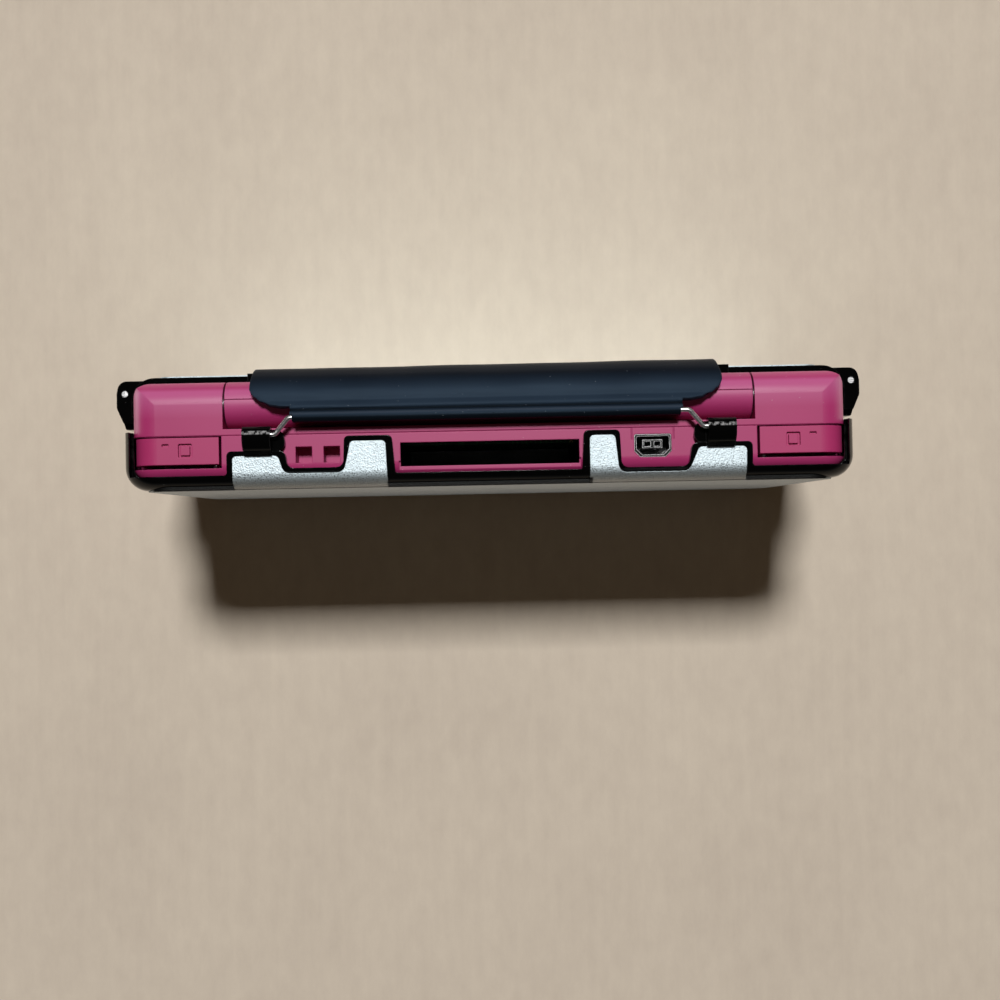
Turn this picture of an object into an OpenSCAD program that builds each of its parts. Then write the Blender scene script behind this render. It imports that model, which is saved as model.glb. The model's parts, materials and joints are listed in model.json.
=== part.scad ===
// Clamshell handheld game console in a hinged, metal-faced two-part case.
// Millimetres. It lies closed on its case: +X to the player's right, +Y to the hinge, +Z up.
// The origin is on the case's underside, in the middle of the console's width and depth.

/* [Console] */
// Width of the console
console_w = 137; // [132:0.5:142]
// Depth of the console, from its front edge to its hinge side
console_d = 74.9; // [72:0.1:79]
// Thickness of the base, from its underside to its deck
base_h = 10.3; // [10.1:0.1:11]
// Thickness of the lid
lid_h = 7.4; // [7.2:0.1:8.2]
// Gap that the lid's bumpers keep between lid and deck
lid_gap = 1.2; // [1.1:0.1:1.6]
// Radius of the console's corners seen from above
plan_r = 5; // [3:0.5:6]
// Radius of the console's outer long edges
edge_r = 3; // [2:0.25:3.5]
// Wall thickness of the console's shells
wall = 1.2; // [1:0.05:1.3]

/* [Hinge] */
// Radius of the hinge barrel and of the ears beside it
barrel_r = 4.45; // [4.3:0.05:4.6]
// Width of each ear
ear_w = 17.9; // [16.5:0.1:18.5]
// Radius of the hinge's clutch and bush
hinge_pin_r = 2.5; // [2:0.1:2.8]
// Gap between each ear and the lid
ear_gap = 0.35; // [0.25:0.05:0.45]

/* [Screens] */
// Width of each picture
picture_w = 66.6; // [62:0.2:68]
// Height of each picture
picture_h = 49.8; // [47:0.2:50]
// Width of the dark border round each picture
picture_border = 2.4; // [2:0.1:2.6]

/* [Controls] */
// Distance of the cross and of the round buttons from the console's middle
control_x = 51.5; // [50.5:0.1:52.5]
// Distance of the cross and of the round buttons behind the console's middle
control_y = 7; // [5:0.5:8]
// Width of the cross over its arms
cross_w = 20.5; // [18:0.5:21]
// Width of one arm of the cross
cross_arm_w = 7; // [6:0.25:7.5]
// Radius of each round action button
button_r = 3.6; // [3:0.1:3.8]
// Distance of each action button from the middle of the four
button_reach = 7.1; // [6.8:0.1:7.4]
// Radius of the start, select and power buttons
small_button_r = 2.3; // [2:0.1:2.5]
// How far the action buttons stand above the deck
button_rise = 0.7; // [0.3:0.05:0.8]
// How far a pressed button moves
button_travel = 0.5; // [0.3:0.05:0.55]

/* [Sockets] */
// Width of the game card slot
card_slot_w = 34; // [33.2:0.1:35]
// Height of the game card slot
card_slot_h = 4.5; // [4.2:0.02:4.56]
// Depth of the game card slot
card_slot_d = 33; // [30:0.5:33]
// Radius of the headphone socket
headphone_r = 1.8; // [1.5:0.05:1.9]
// Depth of the headphone socket
headphone_d = 15; // [12:0.5:16]
// Width of the charging socket
charge_w = 7; // [6:0.1:7.4]
// Height of the charging socket
charge_h = 4.3; // [3.6:0.1:4.4]
// Radius of the stylus
stylus_r = 2; // [1.6:0.05:2.05]
// Length of the stylus
stylus_l = 92; // [84:1:94]

/* [Case] */
// Thickness of the case's plastic frames
case_wall = 1.5; // [1.3:0.05:1.6]
// Thickness of the case's metal plates
plate_t = 0.8; // [0.6:0.05:0.9]
// Floor of the lower frame, from the plate's underside
tray_floor = 1.85; // [1.7:0.05:2.2]
// Height of the lower frame's side walls
tray_h = 11.4; // [10.5:0.1:11.6]
// Play between the case and the console
case_fit = 0.15; // [0.1:0.05:0.2]
// Half width of the spine flap's upper part
flap_half_w = 44.3; // [42:0.1:44.6]
// Half width of the spine flap's hem
hem_half_w = 36.4; // [34:0.1:37.6]
// Thickness of the spine flap
flap_t = 1.1; // [0.9:0.05:1.3]
// Radius of the flap's wire
wire_r = 0.5; // [0.4:0.02:0.6]
// Length of each side clip
clip_l = 28; // [20:0.5:32]

/* [Hidden] */
$fn = 64;
hair = 0.05; // play between pieces that are fixed to each other
running = 0.05; // radial play of a shaft that turns
over = 1; // how far a cutter runs past what it cuts

// Console levels and limits
half_w = console_w / 2;
rear_y = console_d / 2;
front_y = -console_d / 2;
base_z = tray_floor + case_fit;
deck_z = base_z + base_h;
floor_z = base_z + wall + 0.2;
roof_z = deck_z - wall;
seam_z = base_z + 8.3;
lid_z = deck_z + lid_gap;
lid_top = lid_z + lid_h;
hinge_y = rear_y - barrel_r;
hinge_z = lid_top - barrel_r;
ear_x = half_w - ear_w;
ear_front = hinge_y - barrel_r;
lid_rear = ear_front - ear_gap - 0.1;
ledge_z = hinge_z - barrel_r - 0.4;
lid_seam = hinge_z + 0.7;
seam_groove = 0.15;
deck_edge_r = 0.8;

// Boards and screens, in layers from the floor up
board_t = 0.8;
board_z = floor_z + 5.1;
board_top = board_z + board_t;
touch_t = 0.7;
touch_z = roof_z - touch_t;
window_lip = 0.3;
membrane_t = 0.3;
dome_r = 1.6;
pad_membrane_t = 0.2;

// Screw posts
post_r = 2.2;
screw_r = 0.95;
screw_head_r = 1.6;
post_x = half_w - 6.5;
post_front_y = front_y + 4.2;
post_rear_y = ear_front - 8.5;

jack_x = 30;
jack_block = 4;
post_near_x = jack_x + jack_block + post_r + 1.1;
POSTS = [[post_near_x, post_front_y], [-post_x, post_front_y], [post_x, post_rear_y], [-post_x, post_rear_y]];
LID_POSTS = [[post_x, post_front_y], [-post_x, post_front_y], [post_x, post_rear_y], [-post_x, post_rear_y]];

// Shoulder buttons
shoulder_low = base_z + 3;
shoulder_high = seam_z - 0.2;
shoulder_pocket_low = base_z + 2.2;
shoulder_inner_x = ear_x + 0.8;
shoulder_front = ear_front + 1;
shoulder_pin_x = shoulder_inner_x + 1.7;
shoulder_pin_y = shoulder_front + 1.9;
shoulder_pin_r = 0.6;
shoulder_inset = 0.4;
shoulder_turn = 4;
mark_depth = 0.15;
mark_line = 0.42;
mark_w = 2.6;
mark_x = shoulder_inner_x + 5.1;
mark_z = (shoulder_low + shoulder_high) / 2 - 1.2;
pocket_front = ear_front - 0.8;
picture_y = pocket_front - wall - 0.15 - picture_border - picture_h / 2;

// Action buttons, cross and small buttons
button_gap = 0.22;
flange_t = 0.6;
flange_over = 0.7;
flange_z = roof_z - hair - flange_t;
button_top = deck_z + button_rise;
cross_top = deck_z + 0.6;
rock_z = board_top + 0.45;
rock_ball_r = 0.5;
cross_flange_r = 7.4;
cross_flange_z = rock_z + rock_ball_r;
cross_flange_t = 0.4;
ACTION = [["a", 1, 0], ["b", 0, -1], ["x", 0, 1], ["y", -1, 0]];
small_x = picture_w / 2 + picture_border + 10.3;
start_y = front_y + 20;
select_y = front_y + 11.5;
power_y = front_y + 12.5;
SMALL = [[small_x, start_y], [small_x, select_y], [-small_x, power_y]];

// What lies across the base, from its rear wall forwards: card connector, stylus, battery and card reader
card_wall = 1.2;
card_front = rear_y - card_slot_d;
connector_front = card_front - card_wall;
sleeve_r = stylus_r + 0.15;
sleeve_out_r = stylus_r + 0.4;
stylus_y = connector_front - 0.3 - sleeve_out_r;
battery_front = front_y + 4;
battery_rear = stylus_y - sleeve_out_r - 1.6;
battery_left = -45;
battery_right = 20;
battery_h = 4.6;

// Sockets
slot_z = floor_z + 0.5;
port_x = -31;
port_z = base_z + 2.75;
port_d = 9;
strap_x = 32.65;
strap_pitch = 5.3;
strap_hole = 3.1;
strap_z = base_z + 2.9;
jack_z = floor_z + 2.4;
jack_half = 2.3;
collar_r = headphone_r + 0.45;
stylus_z = floor_z + 2.45;
stylus_tail_r = stylus_r + 0.3;
sd_w = 25;
sd_front = stylus_y - sleeve_out_r - 1 - sd_w;
sd_z = floor_z + 0.5;
sd_h = 3;
sd_inner_x = half_w - 28;
sd_door_z = sd_z - 0.5;
sd_door_h = sd_h + 0.9;
sd_door_t = 1.1;
volume_y = 3;
volume_l = 17;
volume_h = 3;
volume_z = base_z + 4;
volume_proud = 0.5;
volume_turn = 2;
volume_back = -half_w + wall + 1.15;
volume_nose_r = 0.8;
volume_axis_x = volume_back + volume_nose_r;

// Lid
lid_wall_top = 1.3;
lid_floor = lid_z + wall;
pane_border = 4;
pane_t = 0.65;
speaker_r = 6.5;
speaker_h = 2.8;
camera_r = 3.1;
camera_x = half_w - 11.5;
camera_y = front_y + 10.5;
inner_camera_r = 1.4;
bumper_r = 2;

// Case
tray_out = half_w + case_fit + case_wall;
tray_rear = rear_y + case_fit + case_wall;
tray_front = front_y - case_fit - case_wall;
tray_r = plan_r + case_fit + case_wall;
frame_edge_r = edge_r + case_wall;
frame_low = 0.2;
plate_bend_r = 3.2;
plate_half_w = half_w - 2.5;
plate_front = front_y + 2;
plate_rear = rear_y - 0.6;
plate_proud = 0.15;
tab_y = tray_rear + plate_proud;
frame_border = 1;
cover_low = lid_z + 0.6;
cover_skin = lid_top + case_fit;
cover_top = cover_skin + case_wall + 0.05;
cover_plate_z = cover_top - plate_t + 0.3;
cover_rear = hinge_y - 3.8;
nub_inner_x = flap_half_w + 0.5;
nub_w = 2.2;
nub_rear = cover_rear + 1;
nub_top = cover_top + 0.3;

// Spine flap and its wire
wire_y = tray_rear + 1.3;
wire_z = base_z + 8.2;
hem_y = wire_y + 0.5;
hem_z = wire_z + 3.1;
hem_r = wire_r + 0.65;
flap_in_r = barrel_r + 1.45;
flap_out_r = flap_in_r + flap_t;
flap_tip_angle = 117;
flap_step_z = hinge_z - 1.15;
lug_r = wire_r + 1.1;
lug_outer_x = 46.3;
lug_inner_x = 41;
lug_wing_x = 38.6;
wire_end_x = lug_outer_x - 0.6;

// Side clips
clip_rear = lid_rear - 2.4;
clip_front = clip_rear - clip_l;
cheek_t = 1.6;
clip_gap = 0.3;
clip_out = half_w + 4.7;
clip_in = half_w + 0.4;
clip_pin_x = half_w + 3.1;
clip_pin_z = cover_top - 3;
clip_pin_r = 0.6;
clip_r = 1.6;
hook_low = deck_z + 0.35;
hook_high = lid_z - 0.15;
hook_in = half_w - 0.8;

PINK = [0.72, 0.18, 0.38];
BLACK = [0.06, 0.06, 0.07];
NAVY = [0.10, 0.13, 0.17];
SILVER = [0.80, 0.82, 0.84];
STEEL = [0.62, 0.63, 0.65];

// ---- Shared forms -------------------------------------------------------

function flat(p) = [p[0], p[1]];
function unit(v) = v / norm(v);
// Points of an outline whose corners are [x, y, radius], in order
function rounded_outline(corners, steps = 6) = [
    for (i = [0 : len(corners) - 1])
        let (
            n = len(corners),
            p = flat(corners[i]),
            r = corners[i][2],
            a = unit(flat(corners[(i + n - 1) % n]) - p),
            b = unit(flat(corners[(i + 1) % n]) - p),
            half = acos(a * b) / 2,
            middle = r > 0 ? p + unit(a + b) * r / sin(half) : p,
            u = p + a * (r / tan(half)) - middle,
            v = p + b * (r / tan(half)) - middle,
            w = 180 - 2 * half
        )
        for (k = [0 : r > 0 ? steps : 0])
            r > 0 ? middle + (sin((1 - k / steps) * w) * u + sin(k / steps * w) * v) / sin(w) : p
];

// Box between two corners
module span(x0, x1, y0, y1, z0, z1) {
    translate([x0, y0, z0]) cube([x1 - x0, y1 - y0, z1 - z0]);
}

// Rectangle with its own radius at each corner: low left, low right, high right, high left
module corner_rect(x0, y0, x1, y1, r) {
    polygon([
        [x0 + r[0], y0], [x1 - r[1], y0], [x1, y0 + r[1]], [x1, y1 - r[2]],
        [x1 - r[2], y1], [x0 + r[3], y1], [x0, y1 - r[3]], [x0, y0 + r[0]]
    ]);
    translate([x0 + r[0], y0 + r[0]]) circle(r[0]);
    translate([x1 - r[1], y0 + r[1]]) circle(r[1]);
    translate([x1 - r[2], y1 - r[2]]) circle(r[2]);
    translate([x0 + r[3], y1 - r[3]]) circle(r[3]);
}
// Rectangle whose lower corners are rounded by r_low and upper ones by r_high
module edge_rect(x0, y0, x1, y1, r_low, r_high) {
    corner_rect(x0, y0, x1, y1, [r_low, r_low, r_high, r_high]);
}

// Extrusions of an outline drawn in the XZ or the YZ plane
module along_y(y0, y1) {
    translate([0, y1, 0]) rotate([90, 0, 0]) linear_extrude(y1 - y0) children();
}
module along_x(x0, x1) {
    translate([x0, 0, 0]) rotate([90, 0, 90]) linear_extrude(x1 - x0) children();
}
module rod_x(x0, x1, y, z, r) {
    translate([x0, y, z]) rotate([0, 90, 0]) cylinder(h = x1 - x0, r = r);
}
module rod_y(y0, y1, x, z, r) {
    translate([x, y1, z]) rotate([90, 0, 0]) cylinder(h = y1 - y0, r = r);
}

// Rectangle rounded at its u0 end only, by r_low below and r_high above
module nose_rect(u0, v0, u1, v1, r_low, r_high) {
    polygon([
        [u0 + r_low, v0], [u1, v0], [u1, v1], [u0 + r_high, v1], [u0, v1 - r_high], [u0, v0 + r_low]
    ]);
    translate([u0 + r_low, v0 + r_low]) circle(r_low);
    translate([u0 + r_high, v1 - r_high]) circle(r_high);
}
// Quarter turn of the same profile, about its square end
module turned_corner(r, z0, z1, r_low, r_high) {
    rotate_extrude(angle = 90) intersection() {
        mirror([1, 0]) nose_rect(-r, z0, 0, z1, r_low, r_high);
        translate([0, z0]) square([r, z1 - z0]);
    }
}
// Block with corners turned to r_plan, and its upright sides blended by r_low below and r_high above
module soft_block(x_half, y0, y1, z0, z1, r_plan, r_low, r_high) {
    for (x = [-1, 1], y = [-1, 1])
        translate([x * (x_half - r_plan), y < 0 ? y0 + r_plan : y1 - r_plan, 0])
            rotate(x < 0 ? (y < 0 ? 180 : 90) : (y < 0 ? 270 : 0)) turned_corner(r_plan, z0, z1, r_low, r_high);
    along_x(-x_half + r_plan, x_half - r_plan) edge_rect(y0, z0, y1, z1, r_low, r_high);
    each_side() along_y(y0 + r_plan, y1 - r_plan) nose_rect(-x_half, z0, -x_half + r_plan, z1, r_low, r_high);
}
// The same with a square rear end, as on a lid that stops short of its hinge
module square_end_block(x_half, y0, y1, z0, z1, r_plan, r_low, r_high) {
    for (x = [-1, 1])
        translate([x * (x_half - r_plan), y0 + r_plan, 0])
            rotate(x < 0 ? 180 : 270) turned_corner(r_plan, z0, z1, r_low, r_high);
    along_x(-x_half + r_plan, x_half - r_plan) nose_rect(y0, z0, y1, z1, r_low, r_high);
    each_side() along_y(y0 + r_plan, y1) nose_rect(-x_half, z0, -x_half + r_plan, z1, r_low, r_high);
}

module each_side() {
    children();
    mirror([1, 0, 0]) children();
}

module screen_block(border, z0, z1, corner = 0.8) {
    translate([0, picture_y, z0]) linear_extrude(z1 - z0)
        edge_rect(-picture_w / 2 - border, -picture_h / 2 - border, picture_w / 2 + border,
                  picture_h / 2 + border, corner, corner);
}

// ---- Console base -------------------------------------------------------

module base_form() {
    soft_block(half_w, front_y, rear_y, base_z, deck_z, plan_r, edge_r, deck_edge_r);
}
module base_hollow() {
    soft_block(half_w - wall, front_y + wall, rear_y - wall, floor_z, roof_z, plan_r - wall, 0.05, 0.2);
}
// Ear on the right, as wide as the shell's end and as high as the closed lid
module ear_form() {
    intersection() {
        along_x(ear_x, half_w) union() {
            translate([hinge_y, hinge_z]) circle(barrel_r);
            translate([hinge_y - barrel_r, seam_z]) square([2 * barrel_r, hinge_z - seam_z]);
        }
        translate([0, 0, seam_z]) linear_extrude(lid_top - seam_z)
            edge_rect(-half_w, front_y, half_w, rear_y, plan_r, plan_r);
        along_y(front_y, rear_y) edge_rect(-half_w, base_z, half_w, lid_top, edge_r, edge_r + 1);
    }
}
module shoulder_pocket() {
    span(ear_x + 0.3, half_w + over, pocket_front, rear_y + over, shoulder_pocket_low, seam_z + over);
}
// Charging socket's outline: a rectangle with its two lower corners cut off
module charge_outline(grow = 0) {
    w = charge_w / 2 + grow;
    cut = 1.1;
    polygon(rounded_outline([
        [port_x - w, port_z + charge_h + grow, 0.4], [port_x - w, port_z - grow + cut, 0.2],
        [port_x - w + cut, port_z - grow, 0.2], [port_x + w - cut, port_z - grow, 0.2],
        [port_x + w, port_z - grow + cut, 0.2], [port_x + w, port_z + charge_h + grow, 0.4]
    ], 3));
}
// Two square eyes joined behind a bar, for a wrist strap
module strap_tunnel() {
    eye_d = 4.2;
    bar = 2;
    for (s = [-1, 1]) {
        x = strap_x + s * strap_pitch / 2;
        span(x - strap_hole / 2, x + strap_hole / 2, rear_y - eye_d, rear_y + over, strap_z, strap_z + strap_hole);
    }
    span(strap_x - strap_pitch / 2, strap_x + strap_pitch / 2, rear_y - eye_d, rear_y - bar,
         strap_z + 0.4, strap_z + strap_hole - 0.4);
}
module strap_block() {
    x = strap_pitch / 2 + strap_hole / 2 + 0.8;
    span(strap_x - x, strap_x + x, rear_y - 5.2, rear_y - wall / 2, floor_z - 0.2, strap_z + strap_hole + 0.8);
}
module battery_bay(grow = 0) {
    span(battery_left - 1 - grow, battery_right + 1 + grow, battery_front - 0.8 - grow,
         battery_rear + 0.8 + grow, base_z - over, floor_z + over);
}
module side_openings() {
    // Card reader and its door, stylus and headphone plug on the right and front; volume keys on the left
    span(half_w - sd_door_t - hair, half_w + over, sd_front - 0.15, sd_front + sd_w + 0.15,
         sd_door_z - 0.1, sd_door_z + sd_door_h + 0.1);
    span(half_w - wall - over, half_w, sd_front + 0.5, sd_front + sd_w - 0.5, sd_z, sd_z + sd_h);
    rod_x(half_w - wall - over, half_w + over, stylus_y, stylus_z, stylus_tail_r + 0.15);
    rod_y(front_y - over, front_y + wall + over, jack_x, jack_z, collar_r + hair);
    span(-half_w - over, -half_w + wall + over, volume_y - volume_l / 2 - 0.25, volume_y + volume_l / 2 + 0.25,
         volume_z - 0.25, volume_z + volume_h + 0.25);
}

module base_lower_shell() {
    color(PINK) difference() {
        union() {
            difference() {
                intersection() {
                    base_form();
                    span(-half_w, half_w, front_y, rear_y, base_z, seam_z);
                }
                difference() {
                    base_hollow();
                    // Material kept round the shoulder pockets
                    each_side() span(ear_x - 0.9, half_w, pocket_front - wall, rear_y, base_z, seam_z + over);
                }
            }
            strap_block();
            for (p = POSTS) translate([p[0], p[1], floor_z - 0.2]) cylinder(h = board_z - floor_z + 0.2, r = post_r);
        }
        each_side() shoulder_pocket();
        battery_bay();
        span(-card_slot_w / 2, card_slot_w / 2, rear_y - wall - over, rear_y + over, slot_z, slot_z + card_slot_h);
        span(-card_slot_w / 2 - 0.3, card_slot_w / 2 + 0.3, rear_y - 0.6, rear_y + over, slot_z - 1.5, slot_z + over);
        along_y(rear_y - wall - over, rear_y + over) charge_outline(hair);
        // Short joints in the wall above the charge socket
        for (s = [-1, 1])
            span(port_x + s * 4 - 0.1, port_x + s * 4 + 0.1, rear_y - seam_groove, rear_y + over,
                 port_z + charge_h - 1, seam_z + over);
        strap_tunnel();
        side_openings();
        for (p = POSTS) translate([p[0], p[1], base_z - over]) {
            cylinder(h = base_h, r = screw_r + hair);
            cylinder(h = over + 1.2, r = screw_head_r + hair);
        }
    }
}

module button_holes() {
    for (b = ACTION)
        translate([control_x + b[1] * button_reach, control_y + b[2] * button_reach, roof_z - over])
            cylinder(h = wall + 2 * over, r = button_r + button_gap);
    for (p = SMALL)
        translate([p[0], p[1], roof_z - over]) cylinder(h = wall + 2 * over, r = small_button_r + button_gap);
    translate([-control_x, control_y, roof_z - over]) linear_extrude(wall + 2 * over) cross_outline(0.35);
}
module cross_outline(grow = 0) {
    l = cross_w / 2 + grow;
    w = cross_arm_w / 2 + grow;
    edge_rect(-l, -w, l, w, 1, 1);
    edge_rect(-w, -l, w, l, 1, 1);
}

module base_upper_shell() {
    color(PINK) difference() {
        union() {
            difference() {
                intersection() {
                    base_form();
                    span(-half_w, half_w, front_y, rear_y, seam_z, deck_z);
                }
                intersection() {
                    base_hollow();
                    span(-half_w, half_w, front_y, pocket_front - wall, seam_z - over, deck_z);
                }
                // Trough under the barrel
                span(-ear_x, ear_x, ear_front - 0.4, rear_y + over, ledge_z, deck_z + over);
            }
            each_side() ear_form();
            for (p = POSTS) translate([p[0], p[1], board_top]) cylinder(h = roof_z - board_top + 0.2, r = post_r);
        }
        screen_block(-window_lip, roof_z - over, deck_z + over, 0.5);
        button_holes();
        seam_line();
        each_side() rod_x(ear_x - over, half_w - 8, hinge_y, hinge_z, hinge_pin_r + running);
        for (p = POSTS) translate([p[0], p[1], board_top - over])
            cylinder(h = roof_z - board_top + over - 0.4, r = screw_r + hair);
        status_windows(hair);
    }
}

// Fine groove round the base where its two shells meet
module seam_line() {
    difference() {
        span(-half_w - over, half_w + over, front_y - over, rear_y + over, seam_z - over, seam_z + seam_groove);
        soft_block(half_w - seam_groove, front_y + seam_groove, rear_y - seam_groove, base_z, deck_z, plan_r, edge_r,
                   deck_edge_r);
    }
}

// Three light windows along the left ear's upper front
module status_windows(grow = 0) {
    for (i = [0 : 2])
        translate([-ear_x - 5.5 - i * 3.4, hinge_y, hinge_z]) rotate([45, 0, 0])
            translate([0, 0, barrel_r - 1.2]) cylinder(h = 1.25 + 4 * grow, r = 0.65 + grow);
}
module status_lights() {
    color([0.85, 0.9, 0.8]) status_windows();
}

module battery_cover() {
    color(PINK) difference() {
        intersection() {
            base_form();
            difference() {
                battery_bay(-0.1);
                span(-half_w, half_w, front_y, rear_y, floor_z, floor_z + 2 * over);
            }
        }
        // Coin slot of the cover's screw
        translate([battery_right - 3, (battery_front + battery_rear) / 2, base_z - over]) cylinder(h = over + 0.6, r = 2.4);
    }
}
module battery_pack() {
    color([0.75, 0.76, 0.78])
        translate([0, 0, floor_z + hair]) linear_extrude(battery_h)
            edge_rect(battery_left, battery_front, battery_right, battery_rear, 1.2, 1.2);
}

module main_board() {
    board_half_w = half_w - 4.5;
    board_rear = pocket_front - wall - 1.2;
    color([0.10, 0.35, 0.22]) difference() {
        span(-board_half_w, board_half_w, front_y + 4.5, board_rear, board_z, board_top);
        for (p = POSTS) translate([p[0], p[1], board_z - over]) cylinder(h = board_t + 2 * over, r = screw_r + hair);
    }
}
// Processor, memory and radio packages under the board, beside the card connector
module board_chips() {
    // Middle in X, distance of the middle from the rear, width, depth and height of each
    for (c = [[-30, 25, 11, 11, 1.2], [-46, 23, 9, 12, 1], [29, 28, 12, 10, 1.2], [46, 23, 12, 15, 1.8]])
        color(BLACK) span(c[0] - c[2] / 2, c[0] + c[2] / 2, rear_y - c[1] - c[3] / 2, rear_y - c[1] + c[3] / 2,
                          board_z - c[4], board_z);
}

// ---- Sockets and readers ------------------------------------------------

module card_connector() {
    color(BLACK) difference() {
        span(-card_slot_w / 2 - card_wall, card_slot_w / 2 + card_wall, connector_front, rear_y - wall, floor_z,
             slot_z + card_slot_h);
        span(-card_slot_w / 2, card_slot_w / 2, card_front, rear_y, slot_z, slot_z + card_slot_h + over);
    }
}
module card_contacts() {
    contacts = 17;
    pitch = 1.8;
    color([0.85, 0.7, 0.3]) for (i = [0 : contacts - 1]) {
        x = (i - (contacts - 1) / 2) * pitch;
        span(x - 0.4, x + 0.4, card_front + 0.3, card_front + 7, slot_z, slot_z + 0.15);
    }
}
module charge_socket() {
    skin = 0.4;
    y0 = rear_y - port_d;
    color(STEEL) {
        difference() {
            along_y(y0, rear_y - 0.1) charge_outline();
            along_y(y0 + 3.5, rear_y + over) charge_outline(-skin);
        }
        // Contact block in the middle, with a contact in each of its two bays
        difference() {
            span(port_x - 1.9, port_x + 1.9, y0 + 3.5, rear_y - 1, port_z + charge_h - 2.6, port_z + charge_h - 1);
            for (s = [-1, 1]) span(port_x + s * 0.95 - 0.6, port_x + s * 0.95 + 0.6, rear_y - 3, rear_y,
                                   port_z + charge_h - 2.25, port_z + charge_h - 1.35);
        }
    }
}
module headphone_socket() {
    color(BLACK) difference() {
        union() {
            span(jack_x - jack_block, jack_x + jack_block, front_y + wall, front_y + headphone_d + 1, jack_z - jack_half,
                 jack_z + jack_half);
            rod_y(front_y + 0.1, front_y + wall + over, jack_x, jack_z, collar_r);
        }
        rod_y(front_y - over, front_y + headphone_d, jack_x, jack_z, headphone_r);
    }
}
module sd_card_reader() {
    color(STEEL) difference() {
        span(sd_inner_x, half_w - wall - hair, sd_front - 0.2, sd_front + sd_w + 0.2, floor_z, sd_z + sd_h + 0.4);
        span(sd_inner_x + 1.5, half_w, sd_front + 0.4, sd_front + sd_w - 0.4, sd_z + 0.1, sd_z + sd_h - 0.2);
    }
}
// Door over the card reader, with a rounded lower edge that it turns about
module sd_door() {
    pin = sd_door_t / 2;
    y1 = sd_front + sd_w;
    color(PINK) intersection() {
        base_form();
        union() {
            span(half_w - sd_door_t, half_w, sd_front, y1, sd_door_z + pin, sd_door_z + sd_door_h);
            rod_y(sd_front, y1, half_w - pin, sd_door_z + pin, pin);
        }
    }
}

// ---- Displays -----------------------------------------------------------

module touch_panel() {
    color([0.10, 0.10, 0.11]) screen_block(picture_border, touch_z, roof_z);
}
module lower_display() {
    color([0.2, 0.2, 0.22]) screen_block(picture_border - 0.4, board_top + hair, touch_z - hair);
}
module upper_window() {
    color([0.06, 0.06, 0.07]) screen_block(pane_border, lid_z + 0.2, lid_z + 0.2 + pane_t, 2);
}
module upper_display() {
    color([0.2, 0.2, 0.22]) screen_block(picture_border, lid_floor + hair, lid_floor + 2.7);
}

// ---- Controls -----------------------------------------------------------

// Rubber dome under a key, as high as the pressed key leaves room for
module key_dome(x, y) {
    translate([x, y, board_top]) cylinder(h = flange_z - button_travel - hair - board_top, r = dome_r);
}
module key_membranes() {
    color([0.75, 0.75, 0.72]) {
        translate([-control_x, control_y, board_top]) cylinder(h = pad_membrane_t, r = cross_w / 2);
        translate([control_x, control_y, board_top]) cylinder(h = membrane_t, r = button_reach + 3.4);
        for (b = ACTION) key_dome(control_x + b[1] * button_reach, control_y + b[2] * button_reach);
        for (p = SMALL) {
            translate([p[0], p[1], board_top]) cylinder(h = membrane_t, r = small_button_r + 1.2);
            key_dome(p[0], p[1]);
        }
    }
}
module cross_fulcrum() {
    foot = 0.12;
    color([0.75, 0.75, 0.72]) translate([-control_x, control_y, rock_z]) intersection() {
        union() {
            translate([0, 0, -foot]) cylinder(h = foot, r = 1.8);
            sphere(rock_ball_r);
        }
        translate([0, 0, -foot]) cylinder(h = over, r = 2);
    }
}
module cross_pad() {
    color(PINK) translate([-control_x, control_y, 0]) {
        difference() {
            translate([0, 0, cross_flange_z]) linear_extrude(cross_top - cross_flange_z) cross_outline();
            // Thumb dish
            translate([0, 0, cross_top + 14.6]) sphere(15);
        }
        translate([0, 0, cross_flange_z]) cylinder(h = cross_flange_t, r = cross_flange_r);
    }
}
module round_button(x, y, r, top) {
    dome = 0.35;
    color(PINK) translate([x, y, 0]) {
        translate([0, 0, flange_z]) cylinder(h = top - dome - flange_z, r = r);
        translate([0, 0, top - dome]) cylinder(h = dome, r1 = r, r2 = r - dome);
        translate([0, 0, flange_z]) cylinder(h = flange_t, r = r + flange_over);
    }
}
module action_button(i) {
    b = ACTION[i];
    round_button(control_x + b[1] * button_reach, control_y + b[2] * button_reach, button_r, button_top);
}

// Shoulder button on the right, turning on its pin at the inner end
module shoulder_button() {
    color(PINK) difference() {
        intersection() {
            soft_block(half_w - shoulder_inset, front_y, rear_y, base_z, deck_z, plan_r, edge_r, deck_edge_r);
            span(shoulder_inner_x, half_w, shoulder_front, rear_y, shoulder_low, shoulder_high);
        }
        translate([shoulder_pin_x, shoulder_pin_y, 0]) {
            translate([0, 0, base_z]) cylinder(h = base_h, r = shoulder_pin_r + running);
            translate([0, 0, spring_z - 0.3]) cylinder(h = spring_h + 0.6, r = spring_r + 0.5);
        }
        span(shoulder_pin_x, shoulder_pin_x + 6.3, shoulder_front - over, shoulder_pin_y + 0.2,
             spring_z - 0.3, spring_z + spring_h + 0.3);
        shoulder_mark();
    }
}
// Shallow square ring and bar sunk into the button's rear face
module shoulder_mark() {
    line = mark_line;
    along_y(rear_y - shoulder_inset - mark_depth, rear_y) translate([mark_x, mark_z]) {
        difference() {
            edge_rect(0, 0, mark_w, mark_w, 0.3, 0.3);
            edge_rect(line, line, mark_w - line, mark_w - line, 0.15, 0.15);
        }
        edge_rect(1.7 * mark_w, mark_w - 1.2 * line, 2.2 * mark_w, mark_w, 0.15, 0.15);
    }
}
module shoulder_pins() {
    color(STEEL) each_side() translate([shoulder_pin_x, shoulder_pin_y, shoulder_pocket_low])
        cylinder(h = seam_z - shoulder_pocket_low, r = shoulder_pin_r);
}
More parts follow.
